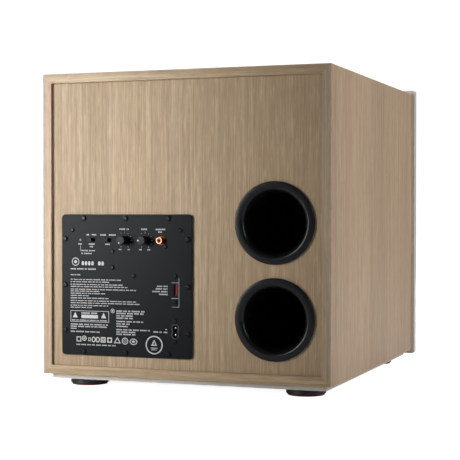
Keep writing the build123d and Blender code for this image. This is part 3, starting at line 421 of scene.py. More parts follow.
shell_nodes = ["top_panel", "right_side_panel", "bottom_panel", "left_side_panel"]
back_oak = {
    "Pale": (0.57, 0.42, 0.252, 1), "Deep": (0.325, 0.223, 0.118, 1), "Ruddy": (0.43, 0.294, 0.174, 1)
}
side_oak = {
    "Pale": (0.585, 0.44, 0.3, 1), "Deep": (0.375, 0.262, 0.165, 1), "Ruddy": (0.49, 0.326, 0.236, 1)
}
# A lighter oak for the shell's rims: painted highlight along the edges, with some wear.
worn_and_highlit_oak = (0.72, 0.58, 0.41, 1)
shell_edge_wear_and_highlight = 1.6 * mm


def oak(name, turn, shift, colours, darkest_leaf_and_shade):
    """Lacquered oak veneer whose grain runs along Z, or along X where it is turned."""
    material, tree = start_material(name, Specular_IOR_Level=0.45)
    place = object_place(tree)
    setting = {"Vector": place, "Rotation": (0.0, turn, 0.0), "Location": shift}
    mapped = add(tree, "Mapping", setting).outputs[0]
    grain = add(
        tree, "Group", {"Vector": mapped, **colours, "Darkest leaf and shade": darkest_leaf_and_shade}, node_tree=oak_grain
    ).outputs
    # Half-strength lightening of the shell's edges: painted highlight along the rims, with wear.
    worn_and_highlit = maths(tree, "MULTIPLY", edge_mask(tree, place, shell_nodes, shell_edge_wear_and_highlight), 0.5)
    colour = mix_colours(tree, worn_and_highlit, grain["Color"], worn_and_highlit_oak)
    return link_surface(material, colour, grain["Roughness"], grain["Height"], 0.3, 0.12 * mm)


def cloth(name, tone, pitch, strength, depth, roughness, **sockets):
    """Woven threads on the piece's own flat pattern."""
    material, tree = start_material(name, **sockets)
    pattern = add(tree, "TexCoord").outputs["UV"]
    weave = add(tree, "Group", {"Vector": pattern, "Pitch": pitch}, node_tree=woven).outputs
    hollow = tuple(value * 0.35 for value in tone)
    colour = mix_colours(tree, weave["Thread"], (*hollow, 1.0), (*tone, 1.0))
    rough = step_between(tree, weave["Thread"], 0.0, 1.0, roughness + 0.12, roughness)
    return link_surface(material, colour, rough, weave["Height"], strength, depth)


def fleece():
    """Loose polyester fibres."""
    material, tree = start_material("polyester_fleece", Sheen_Weight=0.5)
    place = object_place(tree)
    fibres = noise(tree, stretched(tree, place, (1.0, 0.12, 1.0)), 700.0, 5.0, 0.75)
    tufts = noise(tree, place, 90.0, 4.0, 0.7)
    colour = mix_colours(tree, tufts, (0.58, 0.57, 0.53, 1), (0.8, 0.79, 0.76, 1))
    rough = step_between(tree, fibres, 0.2, 0.8, 0.85, 1.0)
    return link_surface(material, colour, rough, maths(tree, "ADD", fibres, tufts), 0.8, 0.8 * mm)


def galvanised(name, tone, gloss):
    """Zinc on steel, with faint crystals."""
    material, tree = start_material(name, Metallic=1.0)
    place = object_place(tree)
    crystal = add(tree, "TexVoronoi", {"Vector": place, "Scale": 160.0}).outputs["Color"]
    value = axes(tree, crystal)[0]
    dull = tuple(part * 0.75 for part in tone)
    colour = mix_colours(tree, value, (*dull, 1.0), (*tone, 1.0))
    rough = step_between(tree, value, 0.0, 1.0, gloss, gloss + 0.15)
    return link_surface(material, colour, rough, noise(tree, place, 500.0, 3.0), 0.12, 0.1 * mm)


def brushed(name, tone, gloss, stretch):
    """Turned or drawn metal with fine lines."""
    return plain(
        name, tone, gloss, vary=0.16, spread=0.22, scale=420.0, strength=0.14, depth=0.05 * mm,
        stretch=stretch, Metallic=1.0,
    )


def gold_plate():
    """Gold plate, bright on the socket's lip and darkened along its barrel as painted shade."""
    material, tree = start_material("gold_plate", Metallic=1.0)
    place = object_place(tree)
    mouth = box_round("rca_shell")[1].y
    lip = step_between(tree, axes(tree, place)[1], mouth - 1.2 * mm, mouth - 0.3 * mm)
    scratches = noise(tree, stretched(tree, place, (1.0, 0.2, 1.0)), 900.0, 3.0)
    bright = mix_colours(tree, scratches, (0.62, 0.27, 0.13, 1), (0.86, 0.46, 0.26, 1))
    # Painted shade: the barrel is dark gold, and only the last of the lip keeps the bright plate.
    colour = mix_colours(tree, lip, (0.16, 0.055, 0.03, 1), bright)
    rough = step_between(tree, lip, 0.0, 1.0, 0.5, 0.3)
    return link_surface(material, colour, rough, scratches, 0.15, 0.05 * mm)


def wound_copper():
    """Enamelled wire laid turn by turn along the coil."""
    material, tree = start_material("wound_copper", Metallic=0.9)
    turns = add(
        tree, "TexWave", {"Vector": object_place(tree), "Scale": 520.0, "Distortion": 0.2},
        bands_direction="Y",
    ).outputs["Fac"]
    colour = mix_colours(tree, turns, (0.32, 0.12, 0.05, 1), (0.78, 0.4, 0.22, 1))
    rough = step_between(tree, turns, 0.0, 1.0, 0.5, 0.25)
    return link_surface(material, colour, rough, turns, 0.5, 0.2 * mm)


def wound_tape():
    """Yellow tape lapped round the transformer's ring."""
    material, tree = start_material("lapped_tape", Coat_Weight=0.2)
    laps_round = 36.0
    shift = axes(tree, vector_maths(tree, "SUBTRACT", object_place(tree), centre_of("transformer")))
    angle = maths(tree, "ARCTAN2", shift[2], shift[0])
    laps = maths(tree, "FRACT", maths(tree, "MULTIPLY", angle, laps_round / (2.0 * math.pi)))
    colour = mix_colours(tree, laps, (0.52, 0.36, 0.05, 1), (0.74, 0.56, 0.12, 1))
    rough = step_between(tree, laps, 0.0, 0.15, 0.55, 0.35)
    return link_surface(material, colour, rough, laps, 0.6, 0.3 * mm)


def board_laminate():
    """Green solder mask over copper tracks."""
    material, tree = start_material("solder_mask", Coat_Weight=0.3, Coat_Roughness=0.2)
    setting = {"Vector": object_place(tree), "Rotation": (quarter_turn, 0.0, 0.0)}
    flat = add(tree, "Mapping", setting).outputs[0]
    tracks = add(tree, "TexBrick", {"Vector": flat, "Scale": 90.0}).outputs["Fac"]
    colour = mix_colours(tree, tracks, (0.018, 0.11, 0.04, 1), (0.05, 0.21, 0.08, 1))
    rough = step_between(tree, tracks, 0.0, 1.0, 0.32, 0.42)
    return link_surface(material, colour, rough, tracks, 0.3, 0.1 * mm)


def cone_pulp():
    """Coated paper pulp with short fibres."""
    material, tree = start_material("cone_pulp", Sheen_Weight=0.2)
    place = object_place(tree)
    fibres = noise(tree, place, 900.0, 5.0, 0.8)
    clouds = noise(tree, place, 60.0, 3.0)
    colour = mix_colours(tree, fibres, (0.016, 0.016, 0.018, 1), (0.062, 0.061, 0.06, 1))
    colour = mix_colours(tree, maths(tree, "MULTIPLY", clouds, 0.4), colour, (0.02, 0.02, 0.024, 1))
    rough = step_between(tree, fibres, 0.2, 0.8, 0.5, 0.75)
    return link_surface(material, colour, rough, fibres, 0.35, 0.2 * mm)


def make_finishes():
    """Every finish, by the name of the record's slot or a name of its own."""
    return {
        "oak_side": oak("oak_side", 0.0, (0.31, 0.0, 0.0), side_oak, 0.93),
        "oak_cross": oak("oak_cross", quarter_turn, (0.0, 0.0, 0.17), back_oak, 0.93),
        # Shift and leaf floor chosen so darker leaves fall where the back lies in shade: painted shade over
        # real leaf-to-leaf tone.
        "oak_back": oak("oak_back", 0.0, (0.07, 0.5, 0.0), back_oak, 0.84),
        # The baffle's lighter edge tone is a painted highlight along its edges, with wear.
        "baffle_paint": plain(
            "baffle_lacquer", (0.62, 0.585, 0.53), 0.42, vary=0.05, scale=30.0, strength=0.08,
            edges_of="front_baffle", edge_tone=(0.75, 0.72, 0.67, 1.0), Coat_Weight=0.1,
        ),
        # The plinth's lighter edge tone is a painted highlight along its edges, with wear.
        "plinth_paint": plain(
            "plinth_lacquer", (0.56, 0.53, 0.49), 0.5, vary=0.08, scale=40.0, strength=0.1,
            edges_of="plinth", edge_tone=(0.66, 0.63, 0.58, 1.0),
        ),
        "raw_board": plain("bare_board", (0.42, 0.3, 0.185), 0.85, vary=0.5, scale=260.0, strength=0.5),
        "wadding": fleece(),
        "foot_plastic": plain("foot_moulding", (0.012, 0.012, 0.013), 0.42, scale=90.0, strength=0.2),
        "foot_rubber": plain("foot_sole", (0.2, 0.012, 0.012), 0.7, vary=0.4, scale=140.0, strength=0.4),
        "steel_screw": brushed("zinc_screw", (0.55, 0.55, 0.56), 0.35, (1.0, 1.0, 0.1)),
        "port_plastic": plain(
            "port_moulding", (0.008, 0.008, 0.0088), 0.25, vary=0.3, spread=0.06, scale=45.0, strength=0.05,
            depth=0.1 * mm, Specular_IOR_Level=0.36, Specular_Tint=(0.9, 0.96, 1.0, 1.0),
        ),
        "basket_paint": plain("basket_powder_coat", (0.02, 0.02, 0.022), 0.55, scale=160.0, strength=0.45),
        "seal_foam": plain("closed_foam", (0.014, 0.014, 0.015), 0.85, scale=320.0, strength=0.7),
        "trim_rubber": plain("trim_rubber", (0.018, 0.018, 0.018), 0.62, scale=120.0),
        "surround_rubber": plain("roll_rubber", (0.016, 0.016, 0.017), 0.5, scale=70.0, strength=0.15),
        "cone_paper": cone_pulp(),
        "dust_cap_plastic": plain("cap_moulding", (0.022, 0.022, 0.024), 0.34, scale=50.0, strength=0.1),
        "coil_copper": wound_copper(),
        "spider_cloth": cloth("dipped_cotton", (0.56, 0.36, 0.13), 0.9 * mm, 0.6, 0.25 * mm, 0.75),
        "plated_steel": galvanised("plated_steel", (0.66, 0.66, 0.67), 0.3),
        "ferrite": plain("ground_ferrite", (0.045, 0.045, 0.048), 0.6, vary=0.35, scale=300.0, strength=0.35),
        "black_screw": plain(
            "black_oxide", (0.006, 0.006, 0.0065), 0.26, vary=0.5, spread=0.2, scale=500.0, strength=0.12,
            depth=0.03 * mm, Specular_IOR_Level=0.18,
        ),
        "terminal_plastic": plain("terminal_moulding", (0.03, 0.03, 0.03), 0.45, scale=120.0),
        "lead_insulation": plain("lead_jacket", (0.075, 0.012, 0.012), 0.42, scale=90.0, strength=0.15),
        "grille_board": plain("grille_moulding", (0.022, 0.022, 0.023), 0.55, scale=90.0, strength=0.3),
        "grille_fabric": cloth(
            "grille_cloth", (0.25, 0.245, 0.24), 1.1 * mm, 0.7, 0.3 * mm, 0.8, Sheen_Weight=0.3
        ),
        "cup_rubber": plain("cup_rubber", (0.02, 0.02, 0.02), 0.7, scale=120.0, strength=0.3),
        # The plate's lighter edge tone is a painted highlight along its edges, with wear.
        "amp_paint": plain(
            "fine_texture_paint", (0.0046, 0.0054, 0.0064), 0.38, vary=0.35, spread=0.05, scale=120.0,
            strength=0.07,
            depth=0.05 * mm, edges_of="amp_plate", edge_tone=(0.02, 0.021, 0.023, 1.0), edge_width=0.8 * mm,
            Specular_IOR_Level=0.09, Specular_Tint=(0.9, 0.97, 1.0, 1.0),
        ),
        "chassis_steel": galvanised("zinc_sheet", (0.55, 0.56, 0.57), 0.32),
        "board_laminate": board_laminate(),
        "transistor_plastic": plain("epoxy_body", (0.02, 0.02, 0.02), 0.6, scale=400.0, strength=0.4),
        "sink_aluminium": brushed("drawn_aluminium", (0.72, 0.73, 0.75), 0.3, (1.0, 0.05, 1.0)),
        "capacitor_sleeve": plain(
            "shrink_sleeve", (0.025, 0.03, 0.06), 0.25, vary=0.15, scale=60.0, strength=0.15, Coat_Weight=0.3
        ),
        "transformer_tape": wound_tape(),
        "control_plastic": plain("control_moulding", (0.03, 0.03, 0.032), 0.5, scale=150.0),
        "shaft_metal": brushed("turned_shaft", (0.66, 0.66, 0.67), 0.25, (1.0, 4.0, 1.0)),
        "knob_plastic": plain(
            "knob_moulding", (0.007, 0.0072, 0.008), 0.42, vary=0.3, scale=260.0, strength=0.15,
            depth=0.05 * mm, Specular_IOR_Level=0.22,
        ),
        "slider_plastic": plain(
            "slider_moulding", (0.012, 0.012, 0.013), 0.45, scale=260.0, strength=0.15,
            Specular_IOR_Level=0.25,
        ),
        "selector_red": plain(
            "selector_moulding", (0.3, 0.014, 0.017), 0.45, vary=0.9, scale=420.0, strength=0.15,
            Specular_IOR_Level=0.2,
        ),
        "inlet_plastic": plain("inlet_moulding", (0.0085, 0.0085, 0.009), 0.42, scale=200.0, strength=0.2),
        "pin_nickel": brushed("nickel_pin", (0.8, 0.79, 0.76), 0.2, (1.0, 0.1, 1.0)),
        "shell_gold": gold_plate(),
        "core_red": plain("socket_core", (0.42, 0.014, 0.011), 0.4, scale=300.0, strength=0.15),
        "led_lens": plain(
            "light_lens", (0.46, 0.5, 0.46), 0.2, vary=0.1, strength=0.05, Transmission_Weight=0.35, IOR=1.49
        ),
        "print_ink": plain(
            "print_ink", (0.56, 0.57, 0.57), 0.6, vary=0.35, scale=900.0, strength=0.3, depth=0.02 * mm
        ),
        "pointer_ink": plain("pointer_ink", (0.82, 0.82, 0.8), 0.5, vary=0.12, scale=700.0, strength=0.2),
    }


dressed_nodes = {
    "oak_side": ["right_side_panel", "left_side_panel"],
    "oak_cross": ["top_panel", "bottom_panel"],
    "oak_back": ["back_panel"],
    "baffle_paint": ["front_baffle"],
    "plinth_paint": ["plinth"],
    "raw_board": ["inner_baffle", "cross_brace"],
    "wadding": ["damping_sheets"],
    "foot_plastic": ["feet"],
    "foot_rubber": ["foot_pads"],
    "steel_screw": ["foot_screws"],
    "port_plastic": ["upper_port_flare", "lower_port_flare", "upper_port_tube", "lower_port_tube"],
    "basket_paint": ["driver_basket"],
    "seal_foam": ["driver_seal", "amp_gasket"],
    "trim_rubber": ["driver_trim_ring"],
    "surround_rubber": ["surround"],
    "cone_paper": ["cone"],
    "dust_cap_plastic": ["dust_cap"],
    "coil_copper": ["voice_coil"],
    "spider_cloth": ["spider"],
    "plated_steel": ["top_plate", "yoke", "amp_fixings"],
    "ferrite": ["magnet"],
    "black_screw": ["driver_screws", "amp_plate_screws", "panel_screws"],
    "terminal_plastic": ["driver_terminals"],
    "lead_insulation": ["speaker_leads"],
    "grille_board": ["grille_frame"],
    "grille_fabric": ["grille_cloth"],
    "cup_rubber": ["grille_cups"],
    "amp_paint": ["amp_plate"],
    "chassis_steel": ["amp_chassis"],
    "board_laminate": ["circuit_board"],
    "transistor_plastic": ["output_transistors"],
    "sink_aluminium": ["heat_sink"],
    "capacitor_sleeve": ["filter_capacitors"],
    "transformer_tape": ["transformer"],
    "control_plastic": ["potentiometers", "slide_switch_bodies", "voltage_selector_body"],
    "shaft_metal": ["crossover_shaft", "volume_shaft"],
    "knob_plastic": ["crossover_knob", "volume_knob"],
    "slider_plastic": ["power_switch_slider", "phase_switch_slider"],
    "selector_red": ["voltage_selector_slider"],
    "inlet_plastic": ["mains_inlet"],
    "pin_nickel": ["mains_pins"],
    "shell_gold": ["rca_shell"],
    "core_red": ["rca_insulator"],
    "led_lens": ["status_led"],
}


def dress_nodes():
    """Puts each finish on the slots of its nodes."""
    for finish, names in dressed_nodes.items():
        for name in names:
            for place in nodes[name].material_slots:
                place.material = finishes[finish]


# ---------------------------------------------------------------- shaping
def let_go():
    """Deselects everything, so that an operator acts only on what is added or held next."""
    bpy.ops.object.select_all(action="DESELECT")


def hold(piece):
    """Selects one piece alone and makes it the active one."""
    let_go()
    piece.select_set(True)
    bpy.context.view_layer.objects.active = piece


def open_new(name):
    """Names the new primitive, settles its place in its mesh and opens it with nothing selected."""
    piece = bpy.context.object
    piece.name = name
    piece.data.name = name
    bpy.ops.object.transform_apply(location=True, rotation=True, scale=True)
    bpy.ops.object.mode_set(mode="EDIT")
    bpy.ops.mesh.select_all(action="DESELECT")
    return piece


def pick(piece, kind, test):
    """Selects, in the open piece, the vertices, edges or faces that pass a test."""
    bpy.ops.mesh.select_mode(type=kind)
    bpy.ops.mesh.select_all(action="DESELECT")
    shape = bmesh.from_edit_mesh(piece.data)
    parts = {"VERT": shape.verts, "EDGE": shape.edges, "FACE": shape.faces}[kind]
    for part in parts:
        if test(part):
            part.select_set(True)
    bmesh.update_edit_mesh(piece.data)


def pick_all(kind="VERT"):
    """Selects the whole open piece."""
    bpy.ops.mesh.select_mode(type=kind)
    bpy.ops.mesh.select_all(action="SELECT")


def close(piece):
    """Merges doubles, turns the faces outwards and leaves edit mode."""
    pick_all()
    bpy.ops.mesh.remove_doubles(threshold=0.002 * mm)
    bpy.ops.mesh.normals_make_consistent(inside=False)
    bpy.ops.object.mode_set(mode="OBJECT")
    return piece


def extrude(across, along, up):
    """Extrudes what is selected in the open piece by one step."""
    bpy.ops.mesh.extrude_region_move(TRANSFORM_OT_translate={"value": (across, along, up)})


def modify(piece, kind, **settings):
    """Adds a modifier and applies it."""
    hold(piece)
    made = piece.modifiers.new(kind.lower(), kind)
    for name, value in settings.items():
        setattr(made, name, value)
    bpy.ops.object.modifier_apply(modifier=made.name)


def smooth(piece, degrees):
    """Shades the piece smooth, except over sharp corners."""
    hold(piece)
    bpy.ops.object.shade_smooth_by_angle(angle=math.radians(degrees))


def dress(piece, finish):
    """Gives a new piece its finish."""
    piece.data.materials.clear()
    piece.data.materials.append(finishes[finish])


def turned_sheet(name, profile, axis, steps):
    """A sheet turned about a line along Y, from points of radius and depth."""
    radius, depth = profile[0]
    start = Vector((axis.x + radius, depth, axis.z))
    let_go()
    bpy.ops.mesh.primitive_plane_add(size=1 * mm, location=start)
    piece = open_new(name)
    pick(piece, "VERT", lambda corner: corner.index > 0)
    bpy.ops.mesh.delete(type="VERT")
    pick_all()
    left = next(iter(bmesh.from_edit_mesh(piece.data).verts)).co
    bpy.ops.transform.translate(value=start - left)
    for near, far in zip(profile, profile[1:]):
        extrude(far[0] - near[0], far[1] - near[1], 0.0)
    pick_all()
    bpy.ops.mesh.spin(steps=steps, angle=2 * math.pi, center=(axis.x, 0, axis.z), axis=(0, 1, 0))
    return close(piece)


def flat_pattern(piece):
    """Lays the piece's own pattern over it, in metres, face by face."""
    hold(piece)
    bpy.ops.object.mode_set(mode="EDIT")
    pick_all("FACE")
    bpy.ops.uv.cube_project(cube_size=1.0)
    bpy.ops.object.mode_set(mode="OBJECT")


def solid_boxes(name):
    """The lowest and highest corners of each separate solid of a node."""
    shape = bmesh.new()
    shape.from_mesh(nodes[name].data)
    bmesh.ops.remove_doubles(shape, verts=shape.verts, dist=0.001 * mm)
    left = set(shape.verts)
    boxes = []
    while left:
        island = [left.pop()]
        for corner in island:
            for edge in corner.link_edges:
                other = edge.other_vert(corner)
                if other in left:
                    left.discard(other)
                    island.append(other)
        boxes.append(extent(corner.co for corner in island))
    shape.free()
    return sorted(boxes, key=lambda box: tuple(box[0]))


# ---------------------------------------------------------------- the driver's soft parts
def ride_both(piece, inner, outer, axis):
    """Ties the outside of a turned piece to the cabinet and its inside to the cone, and bends it between."""
    start = (axis.x + outer, 0.0, axis.z)
    end = (axis.x + inner, 0.0, axis.z)
    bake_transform(piece, "cabinet", "moving_cone", start=start, end=end)
    share = piece.data.attributes["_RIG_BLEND"].data
    for number, corner in enumerate(piece.data.vertices):
        reach = math.hypot(corner.co.x - axis.x, corner.co.z - axis.z)
        part = min(max((outer - reach) / (outer - inner), 0.0), 1.0)
        share[number].value = part * part * (3 - 2 * part)


def make_surround():
    """The rolled rubber edge, from the lip on the cone to the lip under the clamping ring."""
    thickness = 0.9 * mm
    lip = 6.0 * mm
    bead = 0.5 * mm
    roll_gap = 0.4 * mm
    roll_steps = 16
    axis = centre_of("cone")
    low, high = box_round("surround")
    face = high.y - thickness / 2
    outer = half_width("surround")
    roll_outer = outer - lip
    roll_inner = half_width("cone")
    centre = (roll_outer + roll_inner) / 2
    half = (roll_outer - roll_inner) / 2 - roll_gap
    rise = face - low.y - thickness / 2
    profile = [(outer, face), (roll_outer + bead, face)]
    for number in range(roll_steps + 1):
        angle = math.pi * number / roll_steps
        profile.append((centre + half * math.cos(angle), face - rise * math.sin(angle)))
    profile += [(roll_inner - bead, face), (roll_inner - lip, face)]
    piece = turned_sheet("rolled_surround", profile, axis, steps=96)
    modify(piece, "SOLIDIFY", thickness=thickness, offset=0.0)
    smooth(piece, 50)
    dress(piece, "surround_rubber")
    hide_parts("surround")
    ride_both(piece, roll_inner, roll_outer, axis)


def make_spider():
    """The corrugated disc of dipped cotton behind the cone."""
    thickness = 0.6 * mm
    seat_on_coil = 0.4 * mm
    inner_lip = 2 * mm
    outer_lip = 12.5 * mm
    set_back = 1.0 * mm
    inner_step = 0.5 * mm
    rise = 1.7 * mm
    mean_drop = 0.6 * rise
    waves = 5
    points = 60
    axis = centre_of("cone")
    face = box_round("spider")[1].y - set_back
    inner = half_width("voice_coil") - seat_on_coil
    outer = half_width("spider")
    flat_inner = inner + inner_lip
    flat_outer = outer - outer_lip
    profile = [(outer, face), (flat_outer, face)]
    for number in range(1, points):
        part = number / points
        reach = flat_outer + (flat_inner - flat_outer) * part
        profile.append((reach, face - mean_drop - rise * math.sin(2 * math.pi * waves * part)))
    profile += [(flat_inner, face - inner_step), (inner, face - inner_step)]
    piece = turned_sheet("corrugated_spider", profile, axis, steps=72)
    flat_pattern(piece)
    modify(piece, "SOLIDIFY", thickness=thickness, offset=0.0)
    smooth(piece, 60)
    dress(piece, "spider_cloth")
    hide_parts("spider")
    ride_both(piece, flat_inner, flat_outer, axis)


# ---------------------------------------------------------------- the port mouths
port_wall = 3.0 * mm
port_fit_gap = 0.2 * mm
port_bore_radius = 37.5 * mm
port_lip_radius = 44.3 * mm
port_edge_round = 1.6 * mm
port_flange_thickness = 4.0 * mm
port_trumpet_depth = 13.0 * mm
port_stop_depth = 19.0 * mm
port_socket_depth = 34.0 * mm
port_socket_wall = 2.8 * mm


def make_port_mouth(name, node):
    """A moulded trumpet that rolls from its flat rim into the bore, with the tube's socket behind it."""
    rim_steps = 6
    trumpet_steps = 18
    face = box_round(node)[1].y
    flange = half_width(node)
    rim_centre = flange - port_edge_round
    sweep = port_lip_radius - port_bore_radius
    socket = port_bore_radius + port_wall + port_fit_gap
    outside = socket + port_socket_wall
    profile = []
    for number in range(rim_steps + 1):
        turn = quarter_turn * number / rim_steps
        profile.append((
            rim_centre + port_edge_round * math.cos(turn), face - port_edge_round * (1 - math.sin(turn))
        ))
    for number in range(trumpet_steps + 1):
        turn = quarter_turn * number / trumpet_steps
        profile.append((
            port_lip_radius - sweep * math.sin(turn), face - port_trumpet_depth * (1 - math.cos(turn))
        ))
    profile += [
        (port_bore_radius, face - port_stop_depth), (socket, face - port_stop_depth),
        (socket, face - port_socket_depth), (outside, face - port_socket_depth),
        (outside, face - port_flange_thickness), (flange, face - port_flange_thickness), profile[0],
    ]
    piece = turned_sheet(name, profile, centre_of(node), steps=128)
    smooth(piece, 35)
    dress(piece, "port_plastic")
    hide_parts(node)
    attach(piece, "cabinet")


# ---------------------------------------------------------------- wadding
def make_wadding():
    """Three sheets of wadding, lofty and uneven, with soft edges."""
    tufts = bpy.data.textures.new("tufts", "CLOUDS")
    tufts.noise_scale = 0.035
    tufts.noise_depth = 3
    for number, (low, high) in enumerate(solid_boxes("damping_sheets"), start=1):
        let_go()
        bpy.ops.mesh.primitive_cube_add(size=1, location=(low + high) / 2, scale=high - low)
        piece = open_new(f"wadding_sheet_{number}")
        pick_all("FACE")
        bpy.ops.mesh.subdivide(number_cuts=27)
        close(piece)
        modify(piece, "DISPLACE", texture=tufts, strength=5 * mm, mid_level=1.0)
        modify(piece, "SMOOTH", factor=0.6, iterations=3)
        modify(piece, "SUBSURF", levels=1, render_levels=1)
        smooth(piece, 80)
        dress(piece, "wadding")
        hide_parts("damping_sheets")
        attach(piece, "cabinet")


# ---------------------------------------------------------------- grille cloth
def make_grille_cloth():
    """Cloth stretched over the front of its frame and turned back along the sides."""
    low, high = box_round("grille_cloth")
    size = high - low
    thickness = 0.8 * mm
    corner_radius = 11 * mm
    fold_radius = 2.2 * mm
    near = 0.1 * mm
    facing = 0.99
    let_go()
    bpy.ops.mesh.primitive_cube_add(size=1, location=(low + high) / 2, scale=size)
    piece = open_new("stretched_cloth")
    pick(piece, "EDGE", lambda edge: abs(edge.verts[0].co.y - edge.verts[1].co.y) > size.y / 2)
    bpy.ops.mesh.bevel(offset=corner_radius, offset_type="OFFSET", segments=8, affect="EDGES")
    pick(piece, "FACE", lambda face: face.calc_center_median().y > high.y - near)
    bpy.ops.mesh.delete(type="FACE")
    pick(piece, "EDGE", lambda edge: all(corner.co.y < low.y + near for corner in edge.verts))
    bpy.ops.mesh.bevel(offset=fold_radius, offset_type="OFFSET", segments=5, affect="EDGES")
    pick(piece, "FACE", lambda face: abs(face.normal.y) > facing)
    bpy.ops.mesh.poke()
    close(piece)
    flat_pattern(piece)
    modify(piece, "SOLIDIFY", thickness=thickness, offset=-1.0)
    smooth(piece, 40)
    dress(piece, "grille_fabric")
    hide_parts("grille_cloth")
    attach(piece, "grille")


# ---------------------------------------------------------------- print on the amplifier plate
plate_low, plate_high = box_round("amp_plate")
plate_middle = (plate_low + plate_high) / 2
ink_thickness = 0.05 * mm

# A letter's width is a share of its height, its pitch and its cut corners are shares of its width, and the
# gap after a word is a share of the pitch.
letter_width = 0.62
letter_pitch = 1.42
letter_corner = 0.3
word_gap = 0.9
word_lengths = [2, 3, 4, 5, 6, 7, 8]
fewest_letters = 3
marks = []


def paragraph(left, letter_height, *lines):
    """Lines of print with one left end and one letter height, each with its own right end and height."""
    return [(left, right, up, letter_height) for right, up in lines]


# Lines of small print in millimetres from the plate's middle: left end, right end, height, letter height.
print_lines = [
    (54.8, 50.1, 64.3, 1.9), (47.4, 39.8, 64.3, 1.9), (35.7, 26.0, 64.3, 1.9), (23.3, 13.1, 64.3, 1.9),
    (51.8, 42.8, 52.4, 1.9), (50.4, 44.1, 49.1, 1.9), (28.4, 20.1, 52.4, 1.9), (66.5, 60.5, 52.5, 1.9),
    (62.6, 42.8, 44.0, 1.6), (62.6, 47.0, 40.4, 1.6),
    (8.5, -5.6, 71.8, 1.9), (-21.7, -31.7, 71.8, 1.9), (-41.7, -56.2, 71.7, 1.9), (-45.3, -51.9, 68.4, 1.9),
    (9.6, 5.0, 45.9, 1.5), (-2.6, -7.4, 45.9, 1.5), (-18.6, -23.4, 45.9, 1.5), (-30.4, -35.2, 45.9, 1.5),
    (62.0, 42.8, 27.8, 5.2), (38.5, 25.0, 27.8, 5.2), (77.8, 40.6, 20.4, 1.8), (77.6, 63.0, 12.8, 1.6),
    *paragraph(
        77.8, 1.35, (6.2, 6.8), (22.8, 3.9), (3.9, 0.5), (-3.2, -2.3), (-14.9, -5.7), (36.1, -8.2),
        (28.5, -11.0), (51.4, -13.9), (23.6, -17.0), (-14.9, -20.4), (-20.2, -23.3), (23.6, -26.4),
        (46.9, -29.1),
    ),
    (62.5, 39.0, -36.2, 2.0), (76.0, 26.0, -45.4, 1.4),
    (77.8, 24.0, -50.8, 1.7), (77.8, 25.0, -53.6, 1.7), (77.8, 68.6, -56.3, 1.6), (77.8, 36.1, -60.2, 1.7),
    *paragraph(12.9, 1.9, (-27.4, -32.4), (-25.1, -35.3), (-10.8, -38.4), (-11.7, -41.4)),
    *paragraph(
        12.9, 1.8, (-25.1, -45.6), (-6.2, -48.7), (-4.3, -51.8), (-34.6, -56.0), (-14.5, -59.0),
        (-14.5, -61.9),
    ),
    (69.7, 43.3, -76.8, 1.6), (41.5, 13.3, -76.8, 1.6),
    (-43.5, -58.6, 0.3, 1.7), (-41.7, -58.6, -3.0, 1.7), (-37.0, -58.6, -6.4, 1.7), (-46.2, -58.6, -9.8, 1.7),
    (-38.6, -50.7, -57.4, 1.9), (-52.5, -58.3, -57.4, 1.9),
]

# Plain bars: left, right, low, high.
print_bars = [
    (62.5, 39.0, -42.8, -38.4),
    (63.75, 63.25, 43.4, 50.4),
    (-63.4, -73.4, 4.8, 5.3), (-62.9, -73.0, -14.8, -14.3), (-72.9, -73.35, -25.6, 10.3),
    (-63.4, -73.0, -25.6, -25.2),
    (-54.4, -57.0, -54.2, -53.4),
    (-34.6, -44.0, -78.3, -77.3), (-35.6, -43.0, -80.4, -79.6),
]

# Symbols: corners, across, up, radius, line width (0 where filled), turn in degrees, squeeze across.
print_symbols = [
    (40, 70.8, 29.6, 5.2, 0.9, 0, 1.0), (32, 70.8, 29.6, 2.0, 0.0, 0, 1.0),
    (3, 71.4, -39.9, 4.6, 0.0, 0, 0.9), (3, 31.0, -39.9, 4.6, 0.0, 0, 0.9),
    (32, 18.3, -32.4, 2.7, 0.6, 0, 1.0), (4, 18.3, -32.4, 1.2, 0.0, 45, 1.0),
    (4, 66.2, -69.8, 4.6, 1.1, 45, 1.0), (32, 58.5, -68.6, 3.4, 1.1, 0, 1.0),
    (4, 58.5, -68.6, 1.4, 0.0, 0, 1.0), (4, 50.9, -69.8, 3.2, 0.8, 45, 0.8),
    (6, 45.1, -69.8, 3.9, 1.2, 0, 0.8), (6, 39.3, -69.8, 3.9, 1.2, 30, 0.8),
    (4, 31.7, -69.8, 4.9, 1.2, 45, 1.0), (4, 31.7, -69.8, 2.4, 0.8, 45, 1.0),
    (4, 22.5, -69.8, 4.7, 1.5, 45, 1.0), (3, 11.7, -70.8, 5.4, 1.1, 0, 1.05),
    (32, 1.0, -70.3, 4.4, 1.1, 0, 1.0), (24, 1.0, -70.3, 1.9, 0.6, 0, 1.0),
    (32, -10.8, -70.8, 4.0, 1.0, 0, 1.3), (4, -10.8, -70.8, 1.8, 0.0, 45, 1.6),
    (56, -39.3, -73.9, 11.7, 1.5, 0, 1.0), (3, -39.3, -72.2, 5.0, 1.3, 0, 0.95),
]

# The outline round the safety marks: left, right, low, high, line width.
print_outline = (78.0, 23.5, -47.6, -33.2, 0.6)

# Ticks round a knob, in millimetres from its axis, and in degrees from the top.
tick_start = 8.8
tick_end = 10.3
long_tick_end = 11.0
tick_half_width = 0.18
low_stop = -150
tick_turn = 30
ticks = 11
ticks_to_long_one = 5
volume_at_rest = -90


def on_plate(across, up):
    """A point of the plate's face, from millimetres off its middle."""
    return Vector((plate_middle.x + across * mm, plate_high.y, plate_middle.z + up * mm))


def raise_ink(piece):
    """Gives an open flat mark the thickness of the ink."""
    pick_all("FACE")
    extrude(0, ink_thickness, 0)
    marks.append(close(piece))


